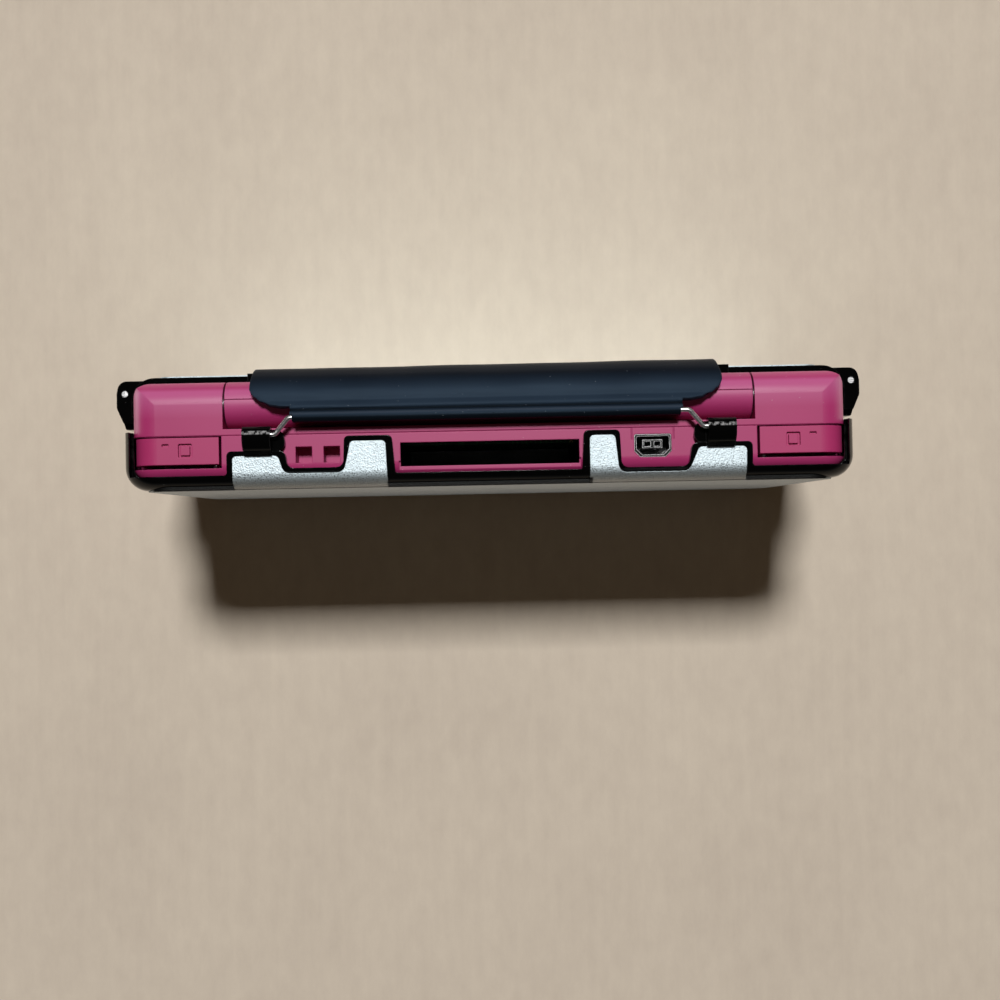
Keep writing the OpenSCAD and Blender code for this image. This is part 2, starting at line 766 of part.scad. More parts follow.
// Torsion spring round each pin: coils, with a leg on the pocket's wall
spring_wire = 0.18;
spring_turns = 4;
spring_r = shoulder_pin_r + 0.5;
spring_h = (1.7 * spring_turns + 0.3) * spring_wire;
spring_z = (shoulder_low + shoulder_high) / 2 - spring_h / 2;
module shoulder_springs() {
    color(STEEL) each_side() translate([shoulder_pin_x, shoulder_pin_y, 0]) {
        for (i = [0 : spring_turns - 1])
            translate([0, 0, spring_z + (1.7 * i + 1) * spring_wire])
                rotate_extrude($fn = 32) translate([spring_r - spring_wire, 0]) circle(spring_wire, $fn = 16);
        translate([0, -spring_r + spring_wire, spring_z + spring_wire]) rotate([0, 90, 0])
            cylinder(h = 5.8, r = spring_wire, $fn = 16);
    }
}
module shoulder_switches() {
    x = shoulder_pin_x + 10;
    z = (shoulder_low + shoulder_high) / 2;
    color(BLACK) each_side() {
        span(x - 2.2, x + 2.2, pocket_front, pocket_front + 0.5, z - 1.6, z + 1.6);
        rod_y(pocket_front, shoulder_front - 10.8 * tan(shoulder_turn) - 0.1, x, z, 0.8);
    }
}
module volume_rocker() {
    color(PINK) {
        span(-half_w - volume_proud, volume_back, volume_y - volume_l / 2, volume_y + volume_l / 2, volume_z,
             volume_z + volume_h);
        span(volume_back - 0.7, volume_back, volume_y - volume_l / 2 - 0.8, volume_y + volume_l / 2 + 0.8,
             volume_z - 0.6, volume_z + volume_h + 0.6);
    }
}
// Switch block behind the rocker, with the nose that it tips on and a plunger at each end
module volume_switches() {
    z = volume_z + volume_h / 2;
    reach = volume_l / 2 - 2;
    color(BLACK) {
        span(volume_axis_x, volume_axis_x + 1.5, volume_y - reach - 2, volume_y + reach + 2, floor_z, board_z);
        translate([volume_axis_x, volume_y, z - 1.2]) cylinder(h = 2.4, r = volume_nose_r);
        for (s = [-1, 1])
            rod_x(volume_back + reach * tan(volume_turn + 0.6), volume_axis_x + 1, volume_y + s * reach, z, 0.7);
    }
}

// ---- Stylus, screws and hinge parts -------------------------------------

module stylus() {
    tail = 1.5;
    x1 = half_w - wall + 0.1;
    x0 = half_w + tail - stylus_l;
    nib = 6;
    color(PINK) {
        rod_x(x1, half_w + tail - 0.6, stylus_y, stylus_z, stylus_tail_r);
        rod_x(x0 + nib, x1, stylus_y, stylus_z, stylus_r);
        translate([x0, stylus_y, stylus_z]) rotate([0, 90, 0]) cylinder(h = nib, r1 = 0.7, r2 = stylus_r);
    }
}
module stylus_sleeve() {
    x0 = half_w - stylus_l + 0.6;
    color([0.3, 0.3, 0.32]) difference() {
        rod_x(x0 - 1, half_w - wall - hair, stylus_y, stylus_z, sleeve_out_r);
        rod_x(x0, half_w, stylus_y, stylus_z, sleeve_r);
    }
}
module base_screws() {
    color(STEEL) for (p = POSTS) translate([p[0], p[1], 0]) difference() {
        union() {
            translate([0, 0, base_z + 0.3]) cylinder(h = 0.9, r = screw_head_r);
            translate([0, 0, base_z + 0.3]) cylinder(h = roof_z - base_z - 1.2, r = screw_r);
        }
        for (a = [0, 90]) rotate(a) translate([-1, -0.2, base_z]) cube([2, 0.4, 0.7]);
    }
}
module hinge_clutch() {
    color(STEEL) {
        rod_x(ear_x - 12, half_w - 8, hinge_y, hinge_z, hinge_pin_r);
        rod_x(ear_x - 13, ear_x - 12, hinge_y, hinge_z, hinge_pin_r - 0.6);
    }
}
module hinge_bush() {
    color(STEEL) difference() {
        rod_x(-half_w + 8, -ear_x + 12, hinge_y, hinge_z, hinge_pin_r);
        rod_x(-half_w, 0, hinge_y, hinge_z, hinge_pin_r - 0.8);
    }
}
// Ribbon rolled up inside the bush, opening flat into the lid
module hinge_flex() {
    r = hinge_pin_r - 1;
    color([0.65, 0.42, 0.12]) {
        difference() {
            rod_x(-half_w + 8.5, -ear_x + 14, hinge_y, hinge_z, r);
            rod_x(-half_w, 0, hinge_y, hinge_z, r - 0.3);
        }
    }
}

// ---- Lid ----------------------------------------------------------------

// Outside of the lid, barrel and all, inset by a wall for its hollow
module lid_form() {
    union() {
        square_end_block(half_w, front_y, lid_rear, lid_z, lid_top, plan_r, deck_edge_r, edge_r);
        span(-ear_x + ear_gap, ear_x - ear_gap, lid_rear - 2 * over, hinge_y, lid_z, lid_top);
        rod_x(-ear_x + ear_gap, ear_x - ear_gap, hinge_y, hinge_z, barrel_r);
    }
}
module lid_hollow() {
    square_end_block(half_w - wall, front_y + wall, lid_rear - wall, lid_floor, lid_top - lid_wall_top, plan_r - wall,
                     0.2, edge_r - wall);
    // The barrel's own hollow, with a bore for the clutch and the bush at its ends
    x = ear_x - 13.5;
    rod_x(-x, x, hinge_y, hinge_z, barrel_r - wall);
    rod_x(-ear_x, ear_x, hinge_y, hinge_z, hinge_pin_r + running);
}
module lid_posts() {
    for (p = LID_POSTS) translate([p[0], p[1] - 0.5, lid_floor - 0.2]) cylinder(h = lid_top - lid_floor - 0.6, r = post_r);
}
module lid_post_bores() {
    for (p = LID_POSTS) translate([p[0], p[1] - 0.5, lid_z - over]) {
        cylinder(h = lid_h - 1, r = screw_r + hair);
        cylinder(h = over + 1.4, r = bumper_r + hair);
    }
}
module camera_bore(z0, z1, r) {
    translate([camera_x, camera_y, z0]) cylinder(h = z1 - z0, r = r);
}
module speaker_holes() {
    hole_r = 0.6;
    pitch = 2.6;
    each_side() translate([control_x, 0, lid_z - over]) {
        cylinder(h = wall + 2 * over, r = hole_r, $fn = 24);
        for (a = [0 : 60 : 300]) rotate(a) translate([pitch, 0, 0])
            cylinder(h = wall + 2 * over, r = hole_r, $fn = 24);
    }
}
module lid_inner_shell() {
    color(PINK) difference() {
        intersection() {
            union() {
                difference() {
                    lid_form();
                    lid_hollow();
                }
                lid_posts();
            }
            span(-half_w, half_w, front_y, rear_y, base_z, lid_seam);
        }
        lid_post_bores();
        screen_block(-window_lip, lid_z - over, lid_floor + over, 0.5);
        screen_block(pane_border + hair, lid_z - over, lid_z + 0.2 + pane_t + hair, 2);
        speaker_holes();
        translate([0, hinge_y, base_z]) cylinder(h = hinge_z - base_z, r = inner_camera_r + hair);
    }
}
module lid_outer_shell() {
    color(PINK) difference() {
        intersection() {
            union() {
                difference() {
                    lid_form();
                    lid_hollow();
                }
                lid_posts();
            }
            span(-half_w, half_w, front_y, rear_y, lid_seam, lid_top);
        }
        lid_post_bores();
        // Groove along the barrel where the lid's two shells meet
        span(-ear_x, ear_x, hinge_y + barrel_r - 0.3, rear_y + over, lid_seam - over, lid_seam + seam_groove);
        camera_bore(lid_seam, lid_top + over, camera_r + hair);
    }
}
module lid_screws() {
    color(STEEL) for (p = LID_POSTS) translate([p[0], p[1] - 0.5, lid_z + 1.5]) {
        cylinder(h = lid_h - 3.7, r = screw_r);
    }
}
module lid_bumpers() {
    color([0.55, 0.12, 0.28]) for (p = LID_POSTS) translate([p[0], p[1] - 0.5, deck_z + hair])
        cylinder(h = lid_gap + 1.3, r = bumper_r);
}
module speakers() {
    color([0.2, 0.2, 0.22]) each_side() translate([control_x, 0, lid_floor]) difference() {
        cylinder(h = speaker_h, r = speaker_r);
        translate([0, 0, -over]) cylinder(h = over + 0.6, r = speaker_r - 1.5);
    }
}
module outer_camera() {
    color([0.05, 0.05, 0.06]) difference() {
        translate([0, 0, 0]) union() {
            camera_bore(lid_floor + 0.3, lid_top + 0.1, camera_r);
            camera_bore(lid_floor + 0.3, lid_floor + 2, camera_r + 1.2);
        }
        translate([camera_x, camera_y, lid_top - 0.6]) cylinder(h = 1, r1 = 1.2, r2 = 2.4);
    }
}
module inner_camera() {
    color([0.05, 0.05, 0.06]) translate([0, hinge_y, hinge_z - barrel_r + 0.15]) difference() {
        cylinder(h = barrel_r - 1.5, r = inner_camera_r);
        translate([0, 0, -0.1]) cylinder(h = 0.5, r1 = 1, r2 = 0.5);
    }
}

// ---- Case: lower frame and plate ----------------------------------------

// Outline of the lower frame's rear wall, seen from behind, with its towers for the plate's tabs
function rear_wall_corners(inset) = [
    [tray_out + over, -over, 0],
    [tray_out + over, 2.75, 0],
    [49.7 - inset, 2.75, inset > 0 ? 0 : 0.6],
    [49.7 - inset, 7.25 - inset, 0.9],
    [38.7 + inset, 7.25 - inset, 1.4],
    [38.2 + inset, 3.9 - inset, 1.4],
    [27.7 - inset, 3.9 - inset, 1.4],
    [27.5 - inset, 9.8 - inset, 0.9],
    [18.5 + inset, 9.8 - inset, 0.9],
    [17.9 + inset, 2.65, 0.3],
    [-17.4 - inset, 2.65, 0.3],
    [-17.8 - inset, 9.95 - inset, 0.9],
    [-24.6 + inset, 9.95 - inset, 0.9],
    [-24.9 + inset, 2.8 - inset, 1.4],
    [-37.6 - inset, 2.8 - inset, 1.4],
    [-38.3 - inset, 7.3 - inset, 1.4],
    [-49.7 + inset, 7.3 - inset, 0.9],
    [-49.7 + inset, 2.65, inset > 0 ? 0 : 0.6],
    [-tray_out - over, 2.65, 0],
    [-tray_out - over, -over, 0]
];
// Outlines of the plate's two turned-up groups of tabs
TAB_RIGHT = [
    [48.6, -over, 0], [48.6, 6.3, 0.8], [40, 6.3, 1.1], [38.9, 2.9, 1.6], [27.6, 2.9, 1.6], [26.3, 8.8, 0.8],
    [19.7, 8.8, 0.8], [19.3, -over, 0]
];
TAB_LEFT = [
    [-18.9, -over, 0], [-18.9, 9, 0.8], [-23.7, 9, 0.8], [-24.4, 1.9, 1.6], [-37.6, 1.9, 1.6], [-39.6, 6.4, 0.9],
    [-48.6, 6.4, 0.8], [-48.4, -over, 0]
];

// The plate's rear edge in section: flat, bent up round the frame's lower rear edge, and upright
module plate_section(grow = 0) {
    y = tab_y - plate_bend_r;
    union() {
        difference() {
            translate([y, plate_bend_r]) circle(plate_bend_r + grow);
            translate([y, plate_bend_r]) circle(plate_bend_r - plate_t - grow);
            translate([y - 2 * plate_bend_r, -over]) square([2 * plate_bend_r, 4 * plate_bend_r]);
            translate([y - over, plate_bend_r]) square([4 * plate_bend_r, 4 * plate_bend_r]);
        }
        translate([tab_y - plate_t - grow, plate_bend_r]) square([plate_t + 2 * grow, 8]);
        translate([plate_rear - over, -grow]) square([y - plate_rear + over, plate_t + 2 * grow]);
    }
}
module tray_plate_form(grow = 0) {
    translate([0, 0, -grow]) linear_extrude(plate_t + 2 * grow)
        edge_rect(-plate_half_w - grow, plate_front - grow, plate_half_w + grow, plate_rear + grow, plan_r, plan_r);
    for (tab = [TAB_RIGHT, TAB_LEFT]) intersection() {
        along_x(-plate_half_w, plate_half_w) plate_section(grow);
        along_y(plate_rear - over, tab_y + over) polygon(rounded_outline(tab));
    }
}
module tray_plate() {
    color(SILVER) tray_plate_form();
}

module tray_frame() {
    lip_y = front_y + 5.5;
    lip_l = 5;
    color(BLACK) difference() {
        union() {
            difference() {
                soft_block(tray_out, tray_front, tray_rear, frame_low, deck_z + 0.1, tray_r, frame_edge_r, 0.05);
                soft_block(half_w + case_fit, front_y - case_fit, rear_y + case_fit, base_z - case_fit,
                           deck_z + 4 * over, plan_r + case_fit, edge_r, 0.05);
                // Rear wall cut to its outline, side and front walls to their height
                along_y(rear_y - edge_r, tray_rear + over) difference() {
                    translate([-tray_out - over, -over]) square([2 * (tray_out + over), deck_z + 2 * over]);
                    polygon(rounded_outline(rear_wall_corners(0)));
                    for (s = [-1, 1]) translate([s * (half_w + case_fit + 1) - 1, -over]) square([2, tray_h + over]);
                }
                span(-tray_out - over, tray_out + over, tray_front - over, rear_y - edge_r, tray_h, deck_z + over);
            }
            // Lips that hook over the deck's edge near the front
            each_side() {
                span(half_w + case_fit, tray_out, lip_y, lip_y + lip_l, tray_h - over, deck_z + 0.55);
                span(half_w - 0.9, tray_out, lip_y, lip_y + lip_l, deck_z + 0.1, deck_z + 0.55);
            }
            wire_lugs();
        }
        tray_plate_form(hair);
        // Ways in to the card reader, stylus, volume keys and headphone socket
        span(half_w - over, tray_out + over, sd_front - 1, sd_front + sd_w + 1, sd_door_z - 0.5, deck_z + over);
        span(half_w - over, tray_out + over, stylus_y - 3.6, stylus_y + 3.6, sd_door_z - 0.5, deck_z + over);
        span(-tray_out - over, -half_w + over, volume_y - volume_l / 2 - 2, volume_y + volume_l / 2 + 2,
             volume_z - 1.2, deck_z + over);
        rod_y(tray_front - over, front_y, jack_x, jack_z, headphone_r + 2.2);
    }
}
// Lugs that carry the ends of the flap's wire, each with a lower wing on its inner side
module wire_lugs() {
    each_side() difference() {
        union() {
            rod_x(lug_inner_x, lug_outer_x, wire_y, wire_z, lug_r);
            span(lug_inner_x, lug_outer_x, rear_y + case_fit, wire_y, base_z + 4.5, wire_z);
            intersection() {
                span(lug_inner_x, lug_outer_x, rear_y + case_fit, wire_y + lug_r, base_z + 4.5, wire_z);
                rod_x(lug_inner_x, lug_outer_x, wire_y - 1.5, wire_z - 0.4, lug_r + 1.5);
            }
            along_y(rear_y + case_fit, tray_rear - 0.3) polygon(rounded_outline([
                [lug_inner_x + 1, base_z + 4.4, 0], [lug_inner_x + 1, wire_z + 1, 0], [lug_wing_x + 0.4, wire_z + 1, 1.6],
                [lug_wing_x, wire_z - 2, 1.6], [lug_inner_x - 0.6, base_z + 4.4, 0.4]
            ]));
        }
        rod_x(lug_inner_x - over, wire_end_x + 0.1, wire_y, wire_z, wire_r + running + 0.01);
    }
}

// ---- Case: upper frame and plate ----------------------------------------

module cover_plate() {
    color(SILVER) difference() {
        translate([0, 0, cover_plate_z]) linear_extrude(plate_t)
            edge_rect(-plate_half_w + 1, plate_front, plate_half_w - 1, lid_rear - 0.8, plan_r, 2);
        camera_bore(cover_plate_z - over, cover_top + over, camera_r + 2.4);
    }
}
// End cheek of a clip's housing, seen along Y
module clip_outline() {
    polygon(rounded_outline([
        [clip_in - 1.2, cover_low, 0], [clip_in - 1.2, cover_top - 0.5, 0.3], [clip_out - 0.5, cover_top - 0.5, 1.8],
        [clip_out, cover_top - 3, 1], [clip_out, cover_low + 2.7, 1], [clip_out - 1.3, cover_low - 0.3, 0.4],
        [clip_in, cover_low - 0.3, 0.2]
    ]));
}
// Room for the lid inside the upper frame
module cover_hollow() {
    square_end_block(half_w + case_fit, front_y - case_fit, lid_rear + over, cover_low - 3 * over, cover_skin,
                     plan_r + case_fit, 0.05, edge_r);
}
module cover_frame() {
    color(BLACK) difference() {
        union() {
            difference() {
                square_end_block(tray_out, tray_front, lid_rear, cover_low, cover_top, tray_r, 0.3, frame_edge_r);
                cover_hollow();
                each_side() span(clip_in - 1.2, tray_out + over, clip_front - clip_gap, clip_rear + clip_gap,
                                 cover_low - over, cover_top + over);
            }
            // Middle of the rear edge, reaching to the flap between two nubs
            span(-nub_inner_x - nub_w, nub_inner_x + nub_w, lid_rear - 1, cover_rear, cover_skin, cover_top);
            each_side() span(nub_inner_x, nub_inner_x + nub_w, cover_rear - 2.5, nub_rear, cover_skin, nub_top);
            // Cheeks that hold each clip's pin
            each_side() for (y = [clip_front - clip_gap - cheek_t, clip_rear + clip_gap])
                along_y(y, y + cheek_t) clip_outline();
        }
        translate([0, 0, cover_plate_z - hair]) linear_extrude(plate_t + over)
            edge_rect(-plate_half_w + 1 - hair, plate_front - hair, plate_half_w - 1 + hair, lid_rear - 0.8 + hair,
                      plan_r, 2);
        cover_hollow();
        camera_bore(lid_top, cover_top + over, camera_r + 1.6);
        each_side() rod_y(clip_front - 4, clip_rear + 4, clip_pin_x, clip_pin_z, clip_pin_r + hair);
    }
}
module clip_pins() {
    color(STEEL) each_side()
        rod_y(clip_front - clip_gap - cheek_t + 0.1, clip_rear + clip_gap + cheek_t - 0.1, clip_pin_x, clip_pin_z,
              clip_pin_r);
}
module side_clip() {
    color(BLACK) difference() {
        union() {
            along_y(clip_front, clip_rear) {
                translate([clip_pin_x, clip_pin_z]) circle(clip_r);
                polygon(rounded_outline([
                    [clip_pin_x - clip_r, clip_pin_z, 0], [clip_pin_x + clip_r, clip_pin_z, 0],
                    [clip_out, cover_low + 2.7, 1], [clip_out - 1.3, hook_low, 0.4], [hook_in, hook_low, 0.2],
                    [hook_in, hook_high, 0.1], [clip_in + 0.1, hook_high, 0.2]
                ]));
            }
            // Grip ribs on the lower edge
            for (i = [0 : 5]) rod_y(clip_rear - 6 - i * 3 - 1.2, clip_rear - 6 - i * 3, clip_out - 0.6, cover_low + 1.2, 0.35);
        }
        rod_y(clip_front - over, clip_rear + over, clip_pin_x, clip_pin_z, clip_pin_r + running);
    }
}

// ---- Spine flap ---------------------------------------------------------

module spine_flap() {
    color(NAVY) difference() {
        intersection() {
            along_x(-flap_half_w, flap_half_w) union() {
                difference() {
                    translate([hinge_y, hinge_z]) circle(flap_out_r);
                    translate([hinge_y, hinge_z]) circle(flap_in_r);
                    translate([hinge_y, hinge_z]) polygon([
                        [0, 0], 20 * [cos(flap_tip_angle), sin(flap_tip_angle)], [-30, 20], [-30, -30], [30, -30],
                        [30, 0]
                    ]);
                }
                polygon([
                    [hinge_y + flap_in_r, hinge_z + 0.2], [hinge_y + flap_out_r, hinge_z + 0.2],
                    [hem_y + hem_r * 0.8, hem_z + hem_r * 0.6], [hem_y - hem_r * 0.5, hem_z + hem_r * 0.7]
                ]);
                translate([hem_y, hem_z]) circle(hem_r);
            }
            along_y(ear_front, rear_y + 20) polygon(rounded_outline([
                [-flap_half_w, lid_top + 10, 0], [-flap_half_w, flap_step_z + 1.5, 2], [-flap_half_w + 3.6, flap_step_z, 3],
                [-hem_half_w, flap_step_z, 0.5], [-hem_half_w, hem_z - 3, 0], [hem_half_w, hem_z - 3, 0],
                [hem_half_w, flap_step_z, 0.5], [flap_half_w - 3.6, flap_step_z, 3], [flap_half_w, flap_step_z + 1.5, 2],
                [flap_half_w, lid_top + 10, 0]
            ]));
        }
        rod_x(-flap_half_w, flap_half_w, hem_y, hem_z, wire_r + hair);
    }
}
// Cranked wire: through the hem, down at each end, and outwards into the lugs
module hinge_wire() {
    knee_x = hem_half_w + 1.2;
    foot_x = lug_inner_x - 0.7;
    across = foot_x - knee_x;
    down = norm([wire_y - hem_y, wire_z - hem_z]);
    slope = atan2(down, across);
    knee_r = 1;
    t = knee_r * tan(slope / 2);
    color(STEEL) {
        rod_x(t - knee_x, knee_x - t, hem_y, hem_z, wire_r);
        each_side() {
            // The crank lies in one plane, which holds both straight runs
            translate([knee_x, hem_y, hem_z]) rotate([atan2(wire_z - hem_z, wire_y - hem_y), 0, 0]) {
                translate([-t, knee_r, 0]) rotate(-90) wire_bend(knee_r, slope);
                rotate(slope) rod_x(t, norm([across, down]) - t, 0, 0, wire_r);
                translate([across + t, down - knee_r, 0]) rotate(90) wire_bend(knee_r, slope);
            }
            rod_x(foot_x + t, wire_end_x, wire_y, wire_z, wire_r);
        }
    }
}
module wire_bend(r, turn) {
    rotate_extrude(angle = turn) translate([r, 0]) circle(wire_r);
}

// ---- One line per node --------------------------------------------------

base_lower_shell();
base_upper_shell();
battery_cover();
battery_pack();
main_board();
board_chips();
card_connector();
card_contacts();
charge_socket();
headphone_socket();
sd_card_reader();
sd_door();
touch_panel();
lower_display();
key_membranes();
cross_fulcrum();
cross_pad();
action_button(0);  // button_a
action_button(1);  // button_b
action_button(2);  // button_x
action_button(3);  // button_y
round_button(small_x, start_y, small_button_r, deck_z + 0.4);  // start_button
round_button(small_x, select_y, small_button_r, deck_z + 0.4);  // select_button
round_button(-small_x, power_y, small_button_r, deck_z + 0.2);  // power_button
mirror([1, 0, 0]) shoulder_button();  // shoulder_left
shoulder_button();  // shoulder_right
shoulder_pins();
shoulder_springs();
shoulder_switches();
volume_rocker();
volume_switches();
stylus();
stylus_sleeve();
status_lights();
base_screws();
hinge_clutch();
hinge_bush();
hinge_flex();
lid_inner_shell();
lid_outer_shell();
upper_window();
upper_display();
speakers();
outer_camera();
inner_camera();
lid_screws();
lid_bumpers();
tray_frame();
tray_plate();
cover_frame();
cover_plate();
spine_flap();
hinge_wire();
mirror([1, 0, 0]) side_clip();  // side_clip_left
side_clip();  // side_clip_right
clip_pins();
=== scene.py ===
"""Clamshell handheld game console in its hinged, metal-faced case: finishes, spine flap, light and camera."""
import bpy
import bmesh
import json
import math
from mathutils import Matrix, Vector


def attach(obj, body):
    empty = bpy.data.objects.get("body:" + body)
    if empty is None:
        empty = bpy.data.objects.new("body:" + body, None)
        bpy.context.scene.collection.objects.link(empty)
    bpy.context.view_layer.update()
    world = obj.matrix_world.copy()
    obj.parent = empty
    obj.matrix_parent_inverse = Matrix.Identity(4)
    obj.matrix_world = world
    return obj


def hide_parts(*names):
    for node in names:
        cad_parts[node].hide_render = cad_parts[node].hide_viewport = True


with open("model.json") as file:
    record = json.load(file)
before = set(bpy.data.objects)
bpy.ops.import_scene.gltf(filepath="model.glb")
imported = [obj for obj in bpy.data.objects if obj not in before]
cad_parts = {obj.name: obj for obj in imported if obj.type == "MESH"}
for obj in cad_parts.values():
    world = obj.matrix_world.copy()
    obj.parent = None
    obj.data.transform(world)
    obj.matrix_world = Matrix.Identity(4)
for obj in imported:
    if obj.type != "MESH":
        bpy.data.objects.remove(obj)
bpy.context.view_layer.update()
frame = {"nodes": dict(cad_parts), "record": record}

MM = 0.001

# Places, in millimetres: X along the hinge, Y towards it, Z up from the desk
HINGE_Y = 33.0
HINGE_Z = 16.45
REAR_Y = 37.45
HEM_Y = 40.9
HEM_Z = 13.3
CAMERA_X = 57.0
CAMERA_Y = -26.95
INNER_CAMERA_Y = 30.0


# ---- Shader graphs ------------------------------------------------------

class Value:
    """A number, colour or vector on its way through a shader. Arithmetic on it adds the Math nodes that work it out."""

    def __init__(self, graph, socket):
        self.graph = graph
        self.socket = socket

    def _math(self, operation, *inputs):
        return self.graph.node("ShaderNodeMath", {"operation": operation}, *inputs)

    def __add__(self, other):
        return self._math("ADD", self, other)

    def __radd__(self, other):
        return self._math("ADD", other, self)

    def __sub__(self, other):
        return self._math("SUBTRACT", self, other)

    def __rsub__(self, other):
        return self._math("SUBTRACT", other, self)

    def __mul__(self, other):
        return self._math("MULTIPLY", self, other)

    def __truediv__(self, other):
        return self._math("DIVIDE", self, other)

    def __gt__(self, other):
        return self._math("GREATER_THAN", self, other)

    def __lt__(self, other):
        return self._math("LESS_THAN", self, other)

    def __mod__(self, other):
        return self._math("FLOORED_MODULO", self, other)

    def __abs__(self):
        return self._math("ABSOLUTE", self)

    def root(self):
        return self._math("SQRT", self)

    def repeat(self, pitch):
        """0.5 at each multiple of the pitch, falling evenly to 0 halfway between them."""
        return abs((self / pitch) % 1.0 - 0.5)

    def ramp(self, low, high):
        """0 up to low, 1 from high on, and evenly between."""
        return self.graph.node("ShaderNodeMapRange", {"clamp": True}, self, low, high, 0.0, 1.0)

    def over(self, low, high):
        """A ramp between two places in millimetres."""
        return self.ramp(low * MM, high * MM)

    def band(self, low, full, fade, high):
        """1 from full to fade and 0 past low and high, in millimetres."""
        return self.over(low, full) * self.over(high, fade)

    def other(self, name):
        """Another output of the node that made this."""
        return Value(self.graph, self.socket.node.outputs[name])


class Nodes:
    """A node tree, and the one way in which nodes are added to it."""

    def __init__(self, tree):
        self.tree = tree

    def node(self, kind, settings, *inputs, output=0, **named):
        """Adds a node: its settings first, then its sockets by order or by name."""
        made = self.tree.nodes.new(kind)
        for key, value in settings.items():
            if key == "stops":
                ramp = made.color_ramp.elements
                while len(ramp) < len(value):
                    ramp.new(0.5)
                for element, (spot, colour) in zip(ramp, value):
                    element.position = spot
                    element.color = colour
            else:
                setattr(made, key, value)
        for key, value in list(enumerate(inputs)) + list(named.items()):
            if value is None:
                continue
            socket = made.inputs[key if isinstance(key, int) else key.replace("_", " ")]
            if isinstance(value, Value):
                self.tree.links.new(value.socket, socket)
            else:
                socket.default_value = value
        return Value(self, made.outputs[output])

    def mix(self, factor, first, second):
        """Blend of two colours."""
        return self.node("ShaderNodeMix", {"data_type": "RGBA"}, factor, None, None, None, None, None, first, second,
                         output="Result")


class Graph(Nodes):
    """The nodes of one material."""

    def __init__(self, name):
        self.material = bpy.data.materials.new(name)
        self.material.use_nodes = True
        super().__init__(self.material.node_tree)
        self.tree.nodes.clear()
        self.out = self.tree.nodes.new("ShaderNodeOutputMaterial")
        self.place = self.node("ShaderNodeTexCoord", {}, output="Object")

    def axes(self):
        """The X, Y and Z of a place on the piece, in metres."""
        x = self.node("ShaderNodeSeparateXYZ", {}, self.place)
        return x, x.other("Y"), x.other("Z")

    def stretched(self, x, y, z):
        """The place with its axes scaled, so that noise read there is drawn out."""
        return self.node("ShaderNodeVectorMath", {"operation": "MULTIPLY"}, self.place, (x, y, z))

    def noise(self, size, detail=2.0, roughness=0.5, at=None):
        """Cloudy noise, from 0 to 1, whose blotches are about size metres across."""
        return self.node("ShaderNodeTexNoise", {}, at or self.place, Scale=1.0 / size, Detail=detail,
                         Roughness=roughness)

    def cells(self, size, feature="F1"):
        """Distance from the nearest of scattered points, about size metres apart, in that unit."""
        return self.node("ShaderNodeTexVoronoi", {"feature": feature}, self.place, Scale=1.0 / size)

    def specks(self, size, radius, share):
        """Round specks: their spacing in metres, their radius as part of it, and the share of places with one."""
        near = self.cells(size)
        chance = self.node("ShaderNodeSeparateColor", {}, near.other("Color"))
        return (near < radius) * (chance < share)

    def soft_edge(self, radius):
        """Normal blended over edges, as if each were rounded."""
        return self.node("ShaderNodeBevel", {"samples": 4}, radius)

    def worn_edge(self, radius):
        """1 along outer and inner edges, 0 on flats."""
        flat = self.node("ShaderNodeNewGeometry", {}, output="Normal")
        dot = self.node("ShaderNodeVectorMath", {"operation": "DOT_PRODUCT"}, self.soft_edge(radius), flat,
                        output="Value")
        return dot.ramp(0.995, 0.85)

    def bump(self, height, depth, normal=None):
        """Normal of a surface that a height of 1 raises by this depth in metres."""
        return self.node("ShaderNodeBump", {}, Strength=1.0, Distance=depth, Height=height, Normal=normal)

    def surface(self, base, rough, normal, **sockets):
        """Ends the material with one principled surface."""
        shader = self.node("ShaderNodeBsdfPrincipled", {}, Base_Color=base, Roughness=rough, Normal=normal, **sockets)
        self.tree.links.new(shader.socket, self.out.inputs["Surface"])
        return self.material


def grey(value):
    return (value, value, value, 1.0)


def tint(colour, factor):
    """The colour made darker or paler."""
    return tuple(c * factor for c in colour[:3]) + (1.0,)


# ---- Finishes -----------------------------------------------------------
# Where painted shade, painted highlights, dark cut edges and a printed band lie, in millimetres. Of two numbers, it
# begins at the first and is full at the second.
# Of four, it is full from the second to the third, and ends at the fourth

LID_SHEEN_Z = (13.8, 18.6, 18.9, 19.6)
LID_SHEEN_Y = (34.0, 36.5)
WIRE_GLINT_Z = (10.1, 10.3, 10.7, 10.9)
WIRE_GLINT_Y = (41.1, 41.3)
PLATE_BEND_SHADE_Z = (1.4, 2.6, 3.0, 4.2)
PLATE_REAR_Y = (36.0, 38.0)
CARD_GAP_X = (19.6, 19.3)
LUG_END_X = (48.4, 48.7)
ROLL_HIGHLIGHT_Z = (HEM_Z + 0.3, HEM_Z + 0.6, HEM_Z + 0.8, HEM_Z + 1.0)
ROLL_UNDER_SHADE_Z = (HEM_Z + 0.4, HEM_Z - 0.2)
FOLD_SHADE_Z = (HEM_Z + 1.0, HEM_Z + 1.3, HEM_Z + 1.5, HEM_Z + 1.9)
FLAP_TOP_SHADE_Z = (HINGE_Z + 1.85, HINGE_Z + 4.75)
PORT_WELL_SHADE_Y = (36.7, 35.2)
BATTERY_BAND_X = 13.5

PINK = (0.39, 0.031, 0.137, 1)
# Painted sheen: a paler pink where light catches the tops of the ears and barrel
PINK_SHEEN = (0.485, 0.1, 0.25, 1)
DUST = (0.55, 0.45, 0.47, 1)
# Painted shade on the plate low at the rear, in the warm dark of a shadowed reflection
UNDERSIDE_SHADE = (0.25, 0.235, 0.205, 1)
# Painted shade over the plate's flat bottom
BOTTOM_SHADE = (0.3, 0.28, 0.25, 1)


